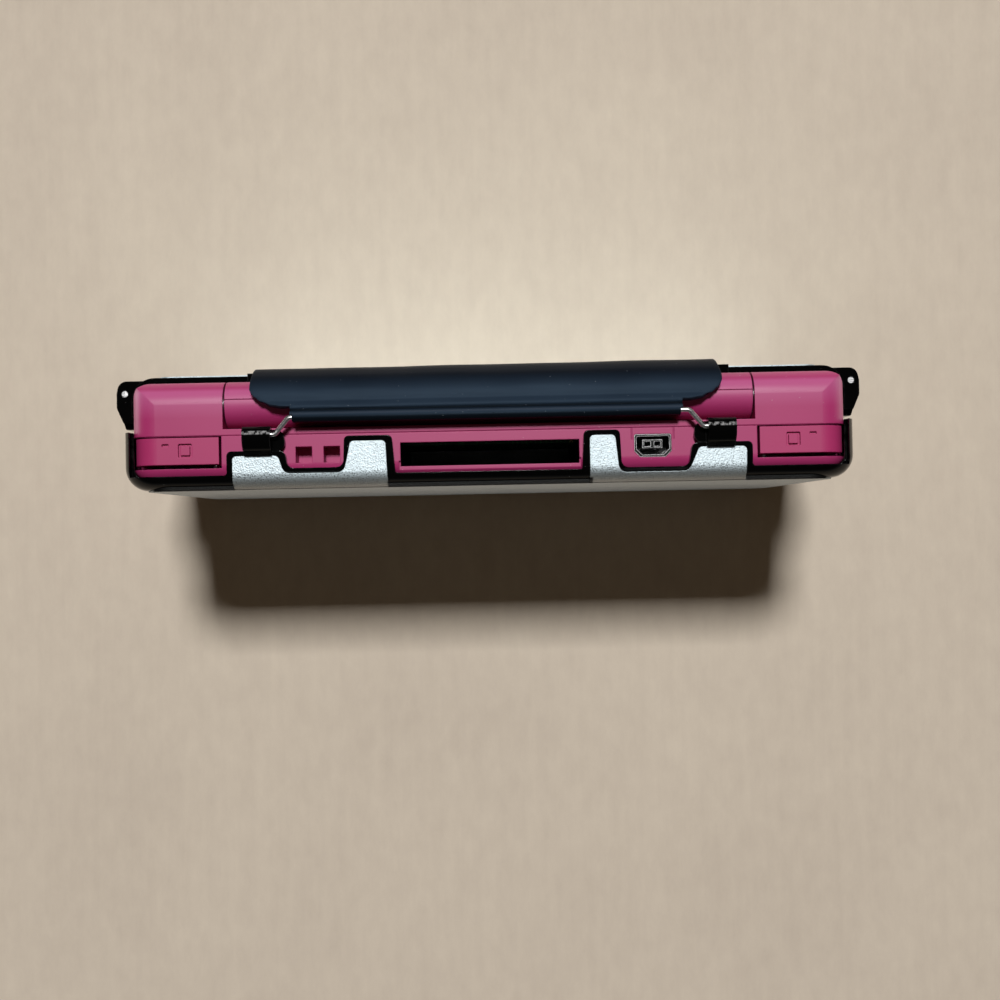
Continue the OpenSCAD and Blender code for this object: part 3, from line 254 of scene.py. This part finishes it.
def moulded_shell(name, colour, rough, worn=0.25, grain=0.00016, relief=0.0000035):
    """Spark-textured moulded plastic, clouded by handling, a little paler and smoother where fingers rub its edges,
    with a painted sheen band under the top of the rounded rear.
    """
    g = Graph(name)
    cloud = g.noise(0.022, 4.0, 0.55)
    handled = g.noise(0.006, 3.0)
    edge = g.worn_edge(0.0005) * handled.ramp(0.35, 0.7)
    fine = g.noise(grain, 2.0, 0.6)
    pits = g.cells(grain * 2.2)
    _, y, z = g.axes()
    # Painted sheen: paler pink in a band below the top of the ears and barrel
    rubbed = z.band(*LID_SHEEN_Z) * y.over(*LID_SHEEN_Y)
    base = g.mix(cloud.ramp(0.3, 0.7), tint(colour, 0.93), colour)
    base = g.mix(rubbed * 0.9, base, PINK_SHEEN)
    base = g.mix(edge * worn, base, tint(colour, 1.35))
    base = g.mix(g.specks(0.0011, 0.05, 0.22), base, DUST)
    rough = cloud * 0.1 + (rough - 0.05) - edge * 0.06 + fine * 0.04
    return g.surface(base, rough, g.bump(fine + pits * 0.6, relief, g.soft_edge(0.00025)), Specular_IOR_Level=0.38)


def gloss_frame(name):
    """Glossy black plastic with hair scratches, finger haze, dust, grey edges that are both wear and painted glints,
    and a painted glint line along the wire's lugs.
    """
    g = Graph(name)
    haze = g.noise(0.012, 4.0, 0.6)
    drawn = g.noise(0.0006, 3.0, 0.7, g.stretched(0.08, 1.0, 1.0))
    crossed = g.noise(0.0006, 3.0, 0.7, g.stretched(1.0, 0.1, 0.6))
    scratch = drawn.ramp(0.68, 0.72) + crossed.ramp(0.69, 0.73)
    # Grey edges: wear, and also painted glints along the edges
    edge = g.worn_edge(0.0004) * g.noise(0.002, 3.0).ramp(0.4, 0.75)
    dust = g.specks(0.0014, 0.06, 0.3)
    _, y, z = g.axes()
    # Painted glint: a pale streak along the lugs at the wire's height
    painted_glint = z.band(*WIRE_GLINT_Z) * y.over(*WIRE_GLINT_Y) * g.noise(0.0007, 3.0).ramp(0.42, 0.6)
    base = g.mix(edge * 0.45, grey(0.0009), grey(0.05))
    base = g.mix(dust, base, grey(0.14))
    base = g.mix(painted_glint * 0.8, base, grey(0.4))
    rough = haze.ramp(0.45, 0.85) * 0.08 + 0.09 + scratch * 0.1 + dust * 0.3
    return g.surface(base, rough, g.bump(scratch * -0.4 + haze * 0.5, 0.000006, g.soft_edge(0.00022)),
                     IOR=1.42, Specular_IOR_Level=0.2)


def blasted_metal(name, colour):
    """Bead-blasted anodised aluminium: small dents that each catch the light, with more dark pits along the rear bend
    and darker low down as painted shade, and dark where cut.
    """
    g = Graph(name)
    dents = g.cells(0.0003)
    fine = g.noise(0.00016, 3.0, 0.7)
    cloud = g.noise(0.02, 3.0)
    scuff = g.noise(0.0008, 4.0, 0.7, g.stretched(0.15, 1.0, 1.0)).ramp(0.66, 0.74)
    chance = g.node("ShaderNodeSeparateColor", {}, dents.other("Color"))
    x, y, z = g.axes()
    # Painted shade: along the rear bend the dark pits grow in number and darkness
    bend = z.band(*PLATE_BEND_SHADE_Z) * y.over(*PLATE_REAR_Y)
    # Painted shade: darker low down at the rear, and over the whole flat bottom
    underside_shade = z.over(2.2, 0.6) * y.over(33.0, 36.5)
    bottom_shade = z.over(0.8, 0.2) * 0.6
    outwards = abs(x)
    cut_edge = (outwards.over(*CARD_GAP_X) + outwards.over(*LUG_END_X)) * z.over(1.2, 0.9) * y.over(35.4, 35.8)
    pit = (chance > 0.74 - bend * 0.3) * (dents < 0.45)
    base = g.mix(pit * (0.6 + bend * 0.3), g.mix(chance, tint(colour, 0.86), tint(colour, 1.08)), tint(colour, 0.35))
    base = g.mix(scuff * 0.25, base, tint(colour, 0.7))
    base = g.mix(underside_shade * 0.7, base, UNDERSIDE_SHADE)
    base = g.mix(bottom_shade, base, BOTTOM_SHADE)
    base = g.mix(cut_edge * 0.97, base, grey(0.006))
    return g.surface(base, cloud * 0.06 + 0.52 + fine * 0.08, g.bump(dents + fine * 0.5, 0.000045, g.soft_edge(0.0002)),
                     Metallic=1.0)


def spine_skin(name):
    """Navy-black rubbery skin: fine leather grain, a soft bloom and dust, with painted shade at its top, under its roll
    and in the fold above it, and a painted highlight on the roll's crest.
    """
    g = Graph(name)
    grain = g.cells(0.00035, "DISTANCE_TO_EDGE")
    fine = g.noise(0.00018, 3.0, 0.6)
    crease = g.noise(0.004, 4.0, 0.6, g.stretched(0.12, 1.0, 1.0))
    bloom = g.noise(0.018, 3.0)
    edge = g.worn_edge(0.0005)
    _, _, z = g.axes()
    # Painted shade: near black under the roll and in the fold just above it
    under = z.over(*ROLL_UNDER_SHADE_Z) + z.band(*FOLD_SHADE_Z)
    base = g.mix(bloom.ramp(0.3, 0.75), (0.0125, 0.0215, 0.036, 1), (0.0185, 0.0315, 0.051, 1))
    # Painted shade over the top of the skin
    base = g.mix(z.over(*FLAP_TOP_SHADE_Z) * 0.95, base, (0.0025, 0.004, 0.0075, 1))
    # Painted highlight along the crest of the roll
    base = g.mix(z.band(*ROLL_HIGHLIGHT_Z) * 0.5, base, (0.045, 0.06, 0.085, 1))
    base = g.mix(under * 0.85, base, (0.001, 0.0014, 0.002, 1))
    base = g.mix(edge * fine.ramp(0.4, 0.7) * 0.5 * (1.0 - under), base, (0.035, 0.05, 0.07, 1))
    base = g.mix(g.specks(0.0012, 0.055, 0.3), base, (0.14, 0.16, 0.18, 1))
    rough = bloom * 0.08 + 0.42 + fine * 0.06
    height = grain.ramp(0.0, 0.16) * 0.5 + fine * 0.5 + crease * 6.0
    return g.surface(base, rough, g.bump(height, 0.000006, g.soft_edge(0.0003)), Specular_IOR_Level=0.08,
                     Specular_Tint=(0.55, 0.78, 1.0, 1.0))


def bright_wire(name):
    """Polished spring wire with draw marks and small rubbed spots."""
    g = Graph(name)
    drawn = g.noise(0.00015, 2.0, 0.6, g.stretched(0.05, 1.0, 1.0))
    spots = g.noise(0.0009, 3.0).ramp(0.62, 0.72)
    base = g.mix(spots * 0.6, grey(0.82), (0.42, 0.41, 0.4, 1))
    return g.surface(base, drawn * 0.12 + 0.22 + spots * 0.2, g.bump(drawn, 0.0000025), Metallic=1.0)


def plain_metal(name, colour, rough, along=(1.0, 1.0, 1.0), edge=0.00012):
    """Pressed or turned metal: a fine grain along one axis, dulled in patches."""
    g = Graph(name)
    drawn = g.noise(0.0002, 3.0, 0.6, g.stretched(*along))
    dull = g.noise(0.003, 3.0).ramp(0.45, 0.75)
    base = g.mix(drawn.ramp(0.3, 0.7), tint(colour, 0.82), colour)
    base = g.mix(dull * 0.35, base, tint(colour, 0.6))
    return g.surface(base, drawn * 0.12 + (rough - 0.06) + dull * 0.12, g.bump(drawn, 0.000003, g.soft_edge(edge)),
                     Metallic=1.0)


def port_metal(name):
    """Plated socket, painted near black as shade, with painted highlights along its edges that fade into the well."""
    g = Graph(name)
    _, y, _ = g.axes()
    # Painted shade: the edge highlights fade deeper into the well
    well_shade = y.over(*PORT_WELL_SHADE_Y)
    drawn = g.noise(0.0002, 3.0, 0.6, g.stretched(0.1, 1.0, 1.0))
    # Painted highlight: pale along the edges over near-black metal
    edge = g.worn_edge(0.00018) * (1.0 - well_shade * 0.7)
    base = g.mix(edge, g.mix(drawn, grey(0.012), grey(0.03)), grey(0.92))
    return g.surface(base, drawn * 0.1 + 0.24 + edge * 0.3, g.bump(drawn, 0.000002, g.soft_edge(0.00006)), Metallic=1.0)


def moulded_trim(name, colour, rough, level=0.5):
    """Plain moulded resin, clouded, with its grain and rubbed edges."""
    g = Graph(name)
    cloud = g.noise(0.008, 3.0)
    fine = g.noise(0.0003, 3.0)
    edge = g.worn_edge(0.0003) * fine.ramp(0.35, 0.65)
    base = g.mix(cloud, tint(colour, 0.78), tint(colour, 1.08))
    base = g.mix(edge * 0.4, base, tint(colour, 1.7))
    return g.surface(base, cloud * 0.1 + (rough - 0.05), g.bump(fine, 0.000004, g.soft_edge(0.00015)),
                     Specular_IOR_Level=level)


def dark_glass(name):
    """Screen window: black behind gloss, with wipe marks and a few dust specks."""
    g = Graph(name)
    wipe = g.noise(0.004, 4.0, 0.6, g.stretched(0.3, 1.0, 1.0)).ramp(0.45, 0.8)
    dust = g.specks(0.0024, 0.04, 0.25)
    base = g.mix(g.noise(0.03, 2.0), (0.006, 0.007, 0.009, 1), (0.012, 0.013, 0.016, 1))
    base = g.mix(dust, base, grey(0.25))
    return g.surface(base, wipe * 0.09 + 0.05 + dust * 0.3, g.bump(wipe, 0.0000008), Coat_Weight=0.6,
                     Coat_Roughness=0.04)


def display_stack(name):
    """Display module: dark polariser with a fine line raster and a smoky edge."""
    g = Graph(name)
    x, y, _ = g.axes()
    raster = x.repeat(0.0003) * y.repeat(0.0003) * 4.0
    cloud = g.noise(0.02, 2.0)
    base = g.mix(raster, (0.018, 0.019, 0.022, 1), (0.034, 0.035, 0.04, 1))
    base = g.mix(cloud * 0.4, base, (0.05, 0.05, 0.058, 1))
    return g.surface(base, cloud * 0.12 + 0.25, g.bump(raster, 0.000002))


def circuit_board(name):
    """Green solder mask over copper: tracks in two directions, pads and vias."""
    g = Graph(name)
    x, y, _ = g.axes()
    lane = g.noise(0.009, 1.0)
    bend = g.node("ShaderNodeTexVoronoi", {"feature": "F1", "distance": "CHEBYCHEV"}, g.place, Scale=90.0)
    track = (abs((x / 0.0009 + bend * 2.0) % 1.0 - 0.5) < 0.16) * (lane > 0.5)
    across = (abs((y / 0.0009 + bend * 2.0) % 1.0 - 0.5) < 0.16) * (lane < 0.5)
    copper = (track + across).ramp(0.0, 1.0)
    via = g.specks(0.0024, 0.16, 0.5)
    hole = g.specks(0.0024, 0.06, 0.5)
    base = g.mix(copper, (0.009, 0.075, 0.032, 1), (0.02, 0.15, 0.055, 1))
    base = g.mix(via, base, (0.65, 0.52, 0.3, 1))
    base = g.mix(hole, base, grey(0.01))
    height = copper * 0.5 + via - hole
    return g.surface(base, 0.34 - copper * 0.06, g.bump(height, 0.00003, g.soft_edge(0.0001)), Metallic=via * 0.8)


def amber_flex(name):
    """Flexible circuit: copper lines under amber film."""
    g = Graph(name)
    _, y, _ = g.axes()
    line = y.repeat(0.0005) < 0.24
    base = g.mix(line, (0.42, 0.19, 0.03, 1), (0.62, 0.3, 0.08, 1))
    base = g.mix(g.noise(0.004, 3.0) * 0.4, base, (0.3, 0.13, 0.02, 1))
    return g.surface(base, 0.3 + g.noise(0.002) * 0.1, g.bump(line, 0.00001), Coat_Weight=0.4)


def battery_sleeve(name):
    """Shrink-wrapped cell: pale grey film with a darker band and small wrinkles."""
    g = Graph(name)
    x, _, _ = g.axes()
    wrinkle = g.noise(0.0022, 4.0, 0.6, g.stretched(0.5, 1.0, 1.0))
    band = x > BATTERY_BAND_X * MM
    base = g.mix(wrinkle, (0.44, 0.45, 0.47, 1), (0.54, 0.55, 0.57, 1))
    base = g.mix(band, base, (0.06, 0.065, 0.075, 1))
    return g.surface(base, wrinkle * 0.15 + 0.32, g.bump(wrinkle, 0.00008, g.soft_edge(0.0006)), Coat_Weight=0.3)


def silicone(name, colour):
    """Silicone keypad rubber: soft, waxy and faintly dusty."""
    g = Graph(name)
    cloud = g.noise(0.003, 4.0)
    base = g.mix(cloud, tint(colour, 0.85), colour)
    return g.surface(base, cloud * 0.15 + 0.5, g.bump(g.noise(0.0003, 2.0), 0.000008, g.soft_edge(0.0002)),
                     Subsurface_Weight=0.15, Subsurface_Radius=(0.0006, 0.0005, 0.0004))


def light_pipe(name):
    """Milky light windows with a fine moulded lens pattern."""
    g = Graph(name)
    x, _, _ = g.axes()
    ribs = x.repeat(0.0004) * 2.0
    base = g.mix(g.noise(0.001, 3.0), (0.5, 0.54, 0.46, 1), (0.66, 0.7, 0.62, 1))
    return g.surface(base, 0.16 + ribs * 0.1, g.bump(ribs, 0.00002), Transmission_Weight=0.25, IOR=1.49)


OUTER_LENS_R = 1.6 * MM
INNER_LENS_R = 0.9 * MM
LENS_COAT = [(0.0, (0.002, 0.002, 0.004, 1)), (0.35, (0.012, 0.006, 0.03, 1)), (0.7, (0.006, 0.03, 0.03, 1)),
             (1.0, (0.01, 0.01, 0.012, 1))]


def lens_unit(name):
    """Camera: matte black barrel, and a coated lens that shows rings of violet and green."""
    g = Graph(name)
    x, y, _ = g.axes()
    outer_x, outer_y, inner_y = abs(x) - CAMERA_X * MM, y - CAMERA_Y * MM, y - INNER_CAMERA_Y * MM
    off = (outer_x * outer_x + outer_y * outer_y).root()
    middle = (x * x + inner_y * inner_y).root()
    outer_lens, inner_lens = off < OUTER_LENS_R, middle < INNER_LENS_R
    lens = outer_lens + inner_lens
    ring = (off / OUTER_LENS_R) * outer_lens + (middle / INNER_LENS_R) * inner_lens
    coat = g.node("ShaderNodeValToRGB", {"stops": LENS_COAT}, ring)
    base = g.mix(lens, g.mix(g.noise(0.0008, 3.0), grey(0.01), grey(0.02)), coat)
    turned = (off / 0.00025) % 1.0
    return g.surface(base, 0.4 - lens * 0.35, g.bump(turned * (1.0 - lens), 0.00001, g.soft_edge(0.0001)),
                     Coat_Weight=lens * 0.8)


finish = {
    "pink_shell": moulded_shell("pink_shell", PINK, 0.4),
    "pink_key": moulded_shell("pink_key", (0.4, 0.029, 0.128, 1), 0.46, 0.4, 0.0002, 0.000002),
    "battery_wrap": battery_sleeve("battery_wrap"),
    "board_green": circuit_board("board_green"),
    "chip_black": moulded_trim("chip_black", grey(0.02), 0.5),
    # The card connector's black plastic, darkened further as painted shade inside the card slot
    "connector_black": moulded_trim("connector_black", grey(0.0015), 0.42, level=0.2),
    "contact_gold": plain_metal("contact_gold", (0.85, 0.58, 0.22, 1), 0.22, (1.0, 0.1, 1.0), 0.00004),
    "socket_metal": plain_metal("socket_metal", grey(0.7), 0.24, (0.1, 1.0, 1.0), 0.00005),
    "screen_glass": dark_glass("screen_glass"),
    "display_dark": display_stack("display_dark"),
    "membrane_grey": silicone("membrane_grey", (0.5, 0.5, 0.47, 1)),
    "steel": plain_metal("steel", grey(0.62), 0.26, (0.15, 1.0, 1.0)),
    "light_lens": light_pipe("light_lens"),
    "flex_amber": amber_flex("flex_amber"),
    "camera_black": lens_unit("camera_black"),
    "bumper_rubber": silicone("bumper_rubber", (0.26, 0.03, 0.09, 1)),
    "case_black": gloss_frame("case_black"),
    "case_aluminium": blasted_metal("case_aluminium", (0.6, 0.68, 0.71, 1)),
    "flap_navy": spine_skin("flap_navy"),
    "wire_chrome": bright_wire("wire_chrome"),
}

slots = {entry["node"]: entry["material_slot"] for entry in frame["record"]["subparts"]}
for name, piece in frame["nodes"].items():
    piece.data.materials.clear()
    piece.data.materials.append(port_metal("port_metal") if name == "charge_socket" else finish[slots[name]])


# ---- Spine flap ---------------------------------------------------------
# A rubbery skin round the lid's barrel, from under the cover's edge down to the roll that holds the wire

# All sizes are in millimetres, and angles in degrees
BARREL_R = 4.45
BARREL_GAP = 1.45
SKIN_T = 1.1
SKIN_R = BARREL_R + BARREL_GAP + SKIN_T / 2
FLAP_HALF = 44.3
STEP_Z = HINGE_Z - 1.15
TIP_ANGLE = 117.0
TIP_STRIP = 3.5
TIP_Y = 31.4
HEM_R = 0.95
HEM_HALF = 36.4
HEM_SOCKET = 1.5
WIRE_R = 0.5
# How a skin that has been bent for long stands off its first shape
SET_OVER = 0.5
SPREAD = 0.35
LEAN = 0.0045
PINCH = 0.75
PINCH_Z = HEM_Z + 1.3
PINCH_HALF = 0.7
# Cuts that round a lower corner: inwards from the side, upwards from the step, and the slope
CORNER_CUTS = ((0.0, 4.35, 84.0), (0.14, 3.4, 72.0), (0.55, 2.6, 55.0), (1.25, 1.87, 40.0), (2.6, 1.0, 27.0),
               (4.4, 0.3, 13.0))
# Two places count as the same when they are this close
SAME = 0.02


def start_clean():
    """Ends any editing and leaves nothing selected."""
    if bpy.context.object and bpy.context.object.mode != "OBJECT":
        bpy.ops.object.mode_set(mode="OBJECT")
    bpy.ops.object.select_all(action="DESELECT")


def settle(piece):
    """Moves the piece's place and turn into its mesh."""
    bpy.ops.object.select_all(action="DESELECT")
    piece.select_set(True)
    bpy.context.view_layer.objects.active = piece
    bpy.ops.object.transform_apply(location=True, rotation=True, scale=True)


def pick(piece, kind, wanted):
    """In edit mode, selects only the edges or faces whose middle, in millimetres, is wanted."""
    bpy.ops.mesh.select_mode(type=kind)
    bpy.ops.mesh.select_all(action="DESELECT")
    mesh = bmesh.from_edit_mesh(piece.data)
    for part in {"EDGE": mesh.edges, "FACE": mesh.faces}[kind]:
        middle = sum((v.co for v in part.verts), Vector()) / len(part.verts) / MM
        if wanted(middle, part):
            part.select_set(True)
    bmesh.update_edit_mesh(piece.data)


def push_out(way):
    """In edit mode, draws the selection out by this much."""
    bpy.ops.mesh.extrude_region_move(TRANSFORM_OT_translate={"value": way})


def face_outwards():
    """In edit mode, turns every face's front outwards."""
    bpy.ops.mesh.select_all(action="SELECT")
    bpy.ops.mesh.normals_make_consistent(inside=False)


def add_modifier(piece, kind, **settings):
    """Adds a modifier with its settings and applies it."""
    bpy.context.view_layer.objects.active = piece
    made = piece.modifiers.new(kind.lower(), kind)
    for key, value in settings.items():
        setattr(made, key, value)
    bpy.ops.object.modifier_apply(modifier=made.name)


def spine_skin_sheet():
    """The flap without its roll: one curved sheet with rounded lower corners."""
    start_clean()
    bpy.ops.mesh.primitive_grid_add(x_subdivisions=72, y_subdivisions=1, size=2.0, location=(0, 0, 0))
    sheet = bpy.context.object
    sheet.name = "spine_flap_skin"
    sheet.scale = (FLAP_HALF * MM, 1.0, 1.0)
    settle(sheet)
    # A first narrow strip along the barrel, at the tip
    strip_end = TIP_ANGLE - TIP_STRIP
    for vertex in sheet.data.vertices:
        turn = math.radians(TIP_ANGLE if vertex.co.y < 0 else strip_end)
        vertex.co.y = (HINGE_Y + SKIN_R * math.cos(turn)) * MM
        vertex.co.z = (HINGE_Z + SKIN_R * math.sin(turn)) * MM
    bpy.ops.object.mode_set(mode="EDIT")
    row_y = HINGE_Y + SKIN_R * math.cos(math.radians(strip_end))
    pick(sheet, "EDGE", lambda m, e: abs(m.y - row_y) < SAME)
    # Round the barrel, down to the height of its axis
    bpy.ops.mesh.spin(steps=30, angle=math.radians(strip_end), center=(0, HINGE_Y * MM, HINGE_Z * MM), axis=(1, 0, 0))
    # Straight on down to the step
    foot = Vector((0, HEM_Y + 0.1, HEM_Z + 0.35))
    top = Vector((0, HINGE_Y + SKIN_R, HINGE_Z))
    fall = foot - top
    down = fall * ((STEP_Z - top.z) / fall.z)
    for _ in range(3):
        push_out(down / 3 * MM)
    # Rounded lower corners, one flat cut after another
    for side in (1, -1):
        for inwards, upwards, slope in CORNER_CUTS:
            bpy.ops.mesh.select_all(action="SELECT")
            corner = Vector(((inwards - FLAP_HALF) * side, 0, STEP_Z + upwards))
            away = Vector((-side * math.sin(math.radians(slope)), 0, -math.cos(math.radians(slope))))
            bpy.ops.mesh.bisect(plane_co=corner * MM, plane_no=away, clear_outer=True)
    # The middle runs on down into the roll
    pick(sheet, "EDGE", lambda m, e: abs(m.z - STEP_Z) < SAME and abs(m.x) < HEM_HALF + 0.3
         and abs(e.verts[0].co.z - e.verts[1].co.z) < 1e-6)
    rest = foot - (top + down)
    for _ in range(4):
        push_out(rest / 4 * MM)
    bpy.ops.mesh.select_all(action="SELECT")
    bpy.ops.mesh.remove_doubles(threshold=0.01 * MM)
    face_outwards()
    bpy.ops.object.mode_set(mode="OBJECT")
    return sheet


def set_skin(sheet):
    """Gives the sheet its thickness, soft edges and the slight waves of a skin that has been bent for long."""
    add_modifier(sheet, "SOLIDIFY", thickness=SKIN_T * MM, offset=0.0, use_even_offset=True)
    add_modifier(sheet, "BEVEL", width=0.28 * MM, segments=3, limit_method="ANGLE", angle_limit=math.radians(40))
    for vertex in sheet.data.vertices:
        x, y, z = vertex.co / MM
        high = min(1.0, max(0.0, (z - HEM_Z - 0.5) / 6.0))
        tip = min(1.0, max(0.0, (TIP_Y - y) / 0.8)) * (z > HINGE_Z)
        taper = 1.0 - max(0.0, z - 20.0) * (0.35 if x > 0 else 0.6)
        wave = 0.07 * math.sin(x / 5.3 + 0.6) + 0.05 * math.sin(x / 2.9 - z / 1.7)
        pinch = PINCH * max(0.0, 1.0 - abs(z - PINCH_Z) / PINCH_HALF) * (y > HEM_Y - 1.5)
        side = min(1.0, max(0.0, (abs(x) - 38.0) / 5.0)) * (1.0 - tip) * taper
        vertex.co.x += (SET_OVER * (1.0 - 0.4 * tip) + math.copysign(SPREAD, x) * side) * MM
        vertex.co.y += (wave * high * (0.4 + 0.6 * (z < HINGE_Z + 2)) - pinch) * MM
        vertex.co.z += (wave * 0.4 - LEAN * x) * high * MM


def wire_roll():
    """The roll along the flap's lower edge, open at its ends where the wire comes out."""
    start_clean()
    bpy.ops.mesh.primitive_cylinder_add(vertices=36, radius=HEM_R * MM, depth=2 * HEM_HALF * MM,
                                        location=(0, HEM_Y * MM, HEM_Z * MM), rotation=(0, math.pi / 2, 0))
    roll = bpy.context.object
    roll.name = "spine_flap_roll"
    roll.location.x = SET_OVER * MM
    settle(roll)
    bpy.ops.object.mode_set(mode="EDIT")
    for side in (1, -1):
        pick(roll, "FACE", lambda m, f: (m.x - SET_OVER) * side > HEM_HALF - 0.1)
        bpy.ops.mesh.inset(thickness=(HEM_R - WIRE_R - 0.05) * MM)
        push_out(Vector((-side * HEM_SOCKET * MM, 0, 0)))
    bpy.ops.object.mode_set(mode="OBJECT")
    add_modifier(roll, "BEVEL", width=0.12 * MM, segments=2, limit_method="ANGLE", angle_limit=math.radians(50))
    return roll


def spine_flap():
    """The sheet and its roll as one piece, which swings with the wire."""
    sheet = spine_skin_sheet()
    set_skin(sheet)
    roll = wire_roll()
    bpy.ops.object.select_all(action="DESELECT")
    roll.select_set(True)
    sheet.select_set(True)
    bpy.context.view_layer.objects.active = sheet
    bpy.ops.object.join()
    sheet.name = "spine_flap_skin"
    bpy.ops.object.mode_set(mode="EDIT")
    face_outwards()
    bpy.ops.object.mode_set(mode="OBJECT")
    bpy.ops.object.shade_smooth_by_angle(angle=math.radians(38))
    sheet.data.materials.clear()
    sheet.data.materials.append(finish["flap_navy"])
    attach(sheet, "spine")
    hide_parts("spine_flap")


spine_flap()


# ---- Stage, light and camera --------------------------------------------

PAPER_SIDE = 1.2
PAPER_Y = -39.3
# The camera faces the rear. Its lens length, centre and vanishing point are in thousandths of the frame's width
FOCAL = 1392.0
SCALE = 5.27
CENTRE = (500.0, 500.0)
VANISH = (490.0, 526.0)
ROLL = math.radians(1.17)
LENS_X = 0.27
LENS_Z = -7.79
FRAME_WIDTH = 1000.0
SENSOR = 36.0
# Each lamp's bearing from the object, its distance and side in metres, and its level
REAR_LIFT = math.radians(22.5)
LAMPS = {
    "rear_lamp": ((0.0, math.cos(REAR_LIFT), math.sin(REAR_LIFT)), 2.5, 0.34, 0.95),
    "top_lamp": ((0.0, -0.7, 0.7), 0.8, 0.5, 0.5),
    "front_lamp": ((0.15, -1.0, 0.25), 0.8, 0.5, 0.7),
    "left_lamp": ((-1.0, -0.35, 0.3), 0.8, 0.4, 0.4),
    "right_lamp": ((1.0, -0.35, 0.3), 0.8, 0.4, 0.4),
    "low_lamp": ((0.0, -0.6, -0.8), 0.8, 0.3, 0.08),
}


def backing_paper(name):
    """Pale kraft paper with a painted pool of light above the object, seen from its front only, which lets lamps behind
    it reach the object's far side.
    """
    g = Graph(name)
    x, _, z = g.axes()
    fibre = g.noise(0.0035, 5.0, 0.65, g.stretched(1.0, 1.0, 0.55))
    streak = g.noise(0.0025, 3.0, 0.6, g.stretched(1.0, 1.0, 0.06))
    blotch = g.noise(0.05, 3.0)
    above = z - 0.03
    # Painted pool of light on the paper above the object
    painted_glow = (x * x + above * above * 3.0).root().ramp(0.15, 0.0)
    shade = fibre * 0.5 + streak * 0.22 + blotch * 0.4 + painted_glow * 0.4 - 0.16
    base = g.mix(shade, (0.5, 0.425, 0.35, 1), (0.72, 0.635, 0.515, 1))
    front = g.node("ShaderNodeBsdfDiffuse", {}, base)
    clear = g.node("ShaderNodeBsdfTransparent", {})
    back = g.node("ShaderNodeNewGeometry", {}, output="Backfacing")
    lamp_ray = g.node("ShaderNodeLightPath", {}, output="Is Shadow Ray")
    mixed = g.node("ShaderNodeMixShader", {}, (back + lamp_ray).ramp(0.0, 1.0), front, clear)
    g.tree.links.new(mixed.socket, g.out.inputs["Surface"])
    return g.material


start_clean()
bpy.ops.mesh.primitive_plane_add(size=PAPER_SIDE, location=(0, 0, 0))
paper = bpy.context.object
paper.name = "backing_paper"
for vertex in paper.data.vertices:
    vertex.co = (-vertex.co.x, PAPER_Y * MM, vertex.co.y)
paper.data.materials.append(backing_paper("kraft_paper"))

depth = Vector((VANISH[0] - CENTRE[0], CENTRE[1] - VANISH[1], -FOCAL)).normalized()
left = Vector((-math.cos(ROLL), -math.sin(ROLL), 0.0))
left = (left - depth * left.dot(depth)).normalized()
up = left.cross(-depth)
# Rows are the world's axes in the camera's own directions: X is its left, -Y its depth, Z its up
turn = Matrix((left, -depth, up))
bpy.ops.object.camera_add()
camera = bpy.context.object
camera.name = "rear_camera"
lens_place = Vector((LENS_X, REAR_Y + FOCAL / SCALE, LENS_Z)) * MM
camera.matrix_world = Matrix.Translation(lens_place) @ turn.to_4x4()
camera.data.sensor_width = SENSOR
camera.data.lens = FOCAL / FRAME_WIDTH * SENSOR
camera.data.clip_start = 0.01
bpy.context.scene.camera = camera


def lamp(name, bearing, distance, size, level):
    """Soft square lamp aimed at the object. A white face turned to it then shows this level."""
    way = Vector(bearing).normalized()
    bpy.ops.object.light_add(type="AREA", location=way * distance)
    light = bpy.context.object
    light.name = name
    light.data.energy = level * math.pi ** 2 * distance ** 2
    light.data.shape = "SQUARE"
    light.data.size = size
    light.rotation_euler = way.to_track_quat("Z", "Y").to_euler()


def room(name):
    """Even, dim light from all round. It is pale when seen directly, and in gloss except towards the camera."""
    world = bpy.data.worlds.new(name)
    bpy.context.scene.world = world
    world.use_nodes = True
    sky = Nodes(world.node_tree)
    seen = sky.node("ShaderNodeLightPath", {})
    way = sky.node("ShaderNodeSeparateXYZ", {}, sky.node("ShaderNodeTexCoord", {}, output="Generated"))
    shiny = (seen.other("Is Glossy Ray") + seen.other("Is Transmission Ray")).ramp(0.0, 1.0)
    far = way.other("Y").ramp(0.1, -0.4)
    strength = seen.other("Is Camera Ray") * 0.82 + shiny * (far * 0.5 + 0.05)
    plain = (seen + shiny).ramp(0.0, 1.0)
    strength = strength + (1.0 - plain) * 0.06
    background = sky.tree.nodes["Background"]
    colour = sky.mix(plain, (1.0, 0.74, 0.5, 1), (1.0, 0.97, 0.93, 1))
    sky.tree.links.new(strength.socket, background.inputs["Strength"])
    sky.tree.links.new(colour.socket, background.inputs["Color"])


for name, settings in LAMPS.items():
    lamp(name, *settings)
room("plain_room")
bpy.context.scene.view_settings.view_transform = "Standard"
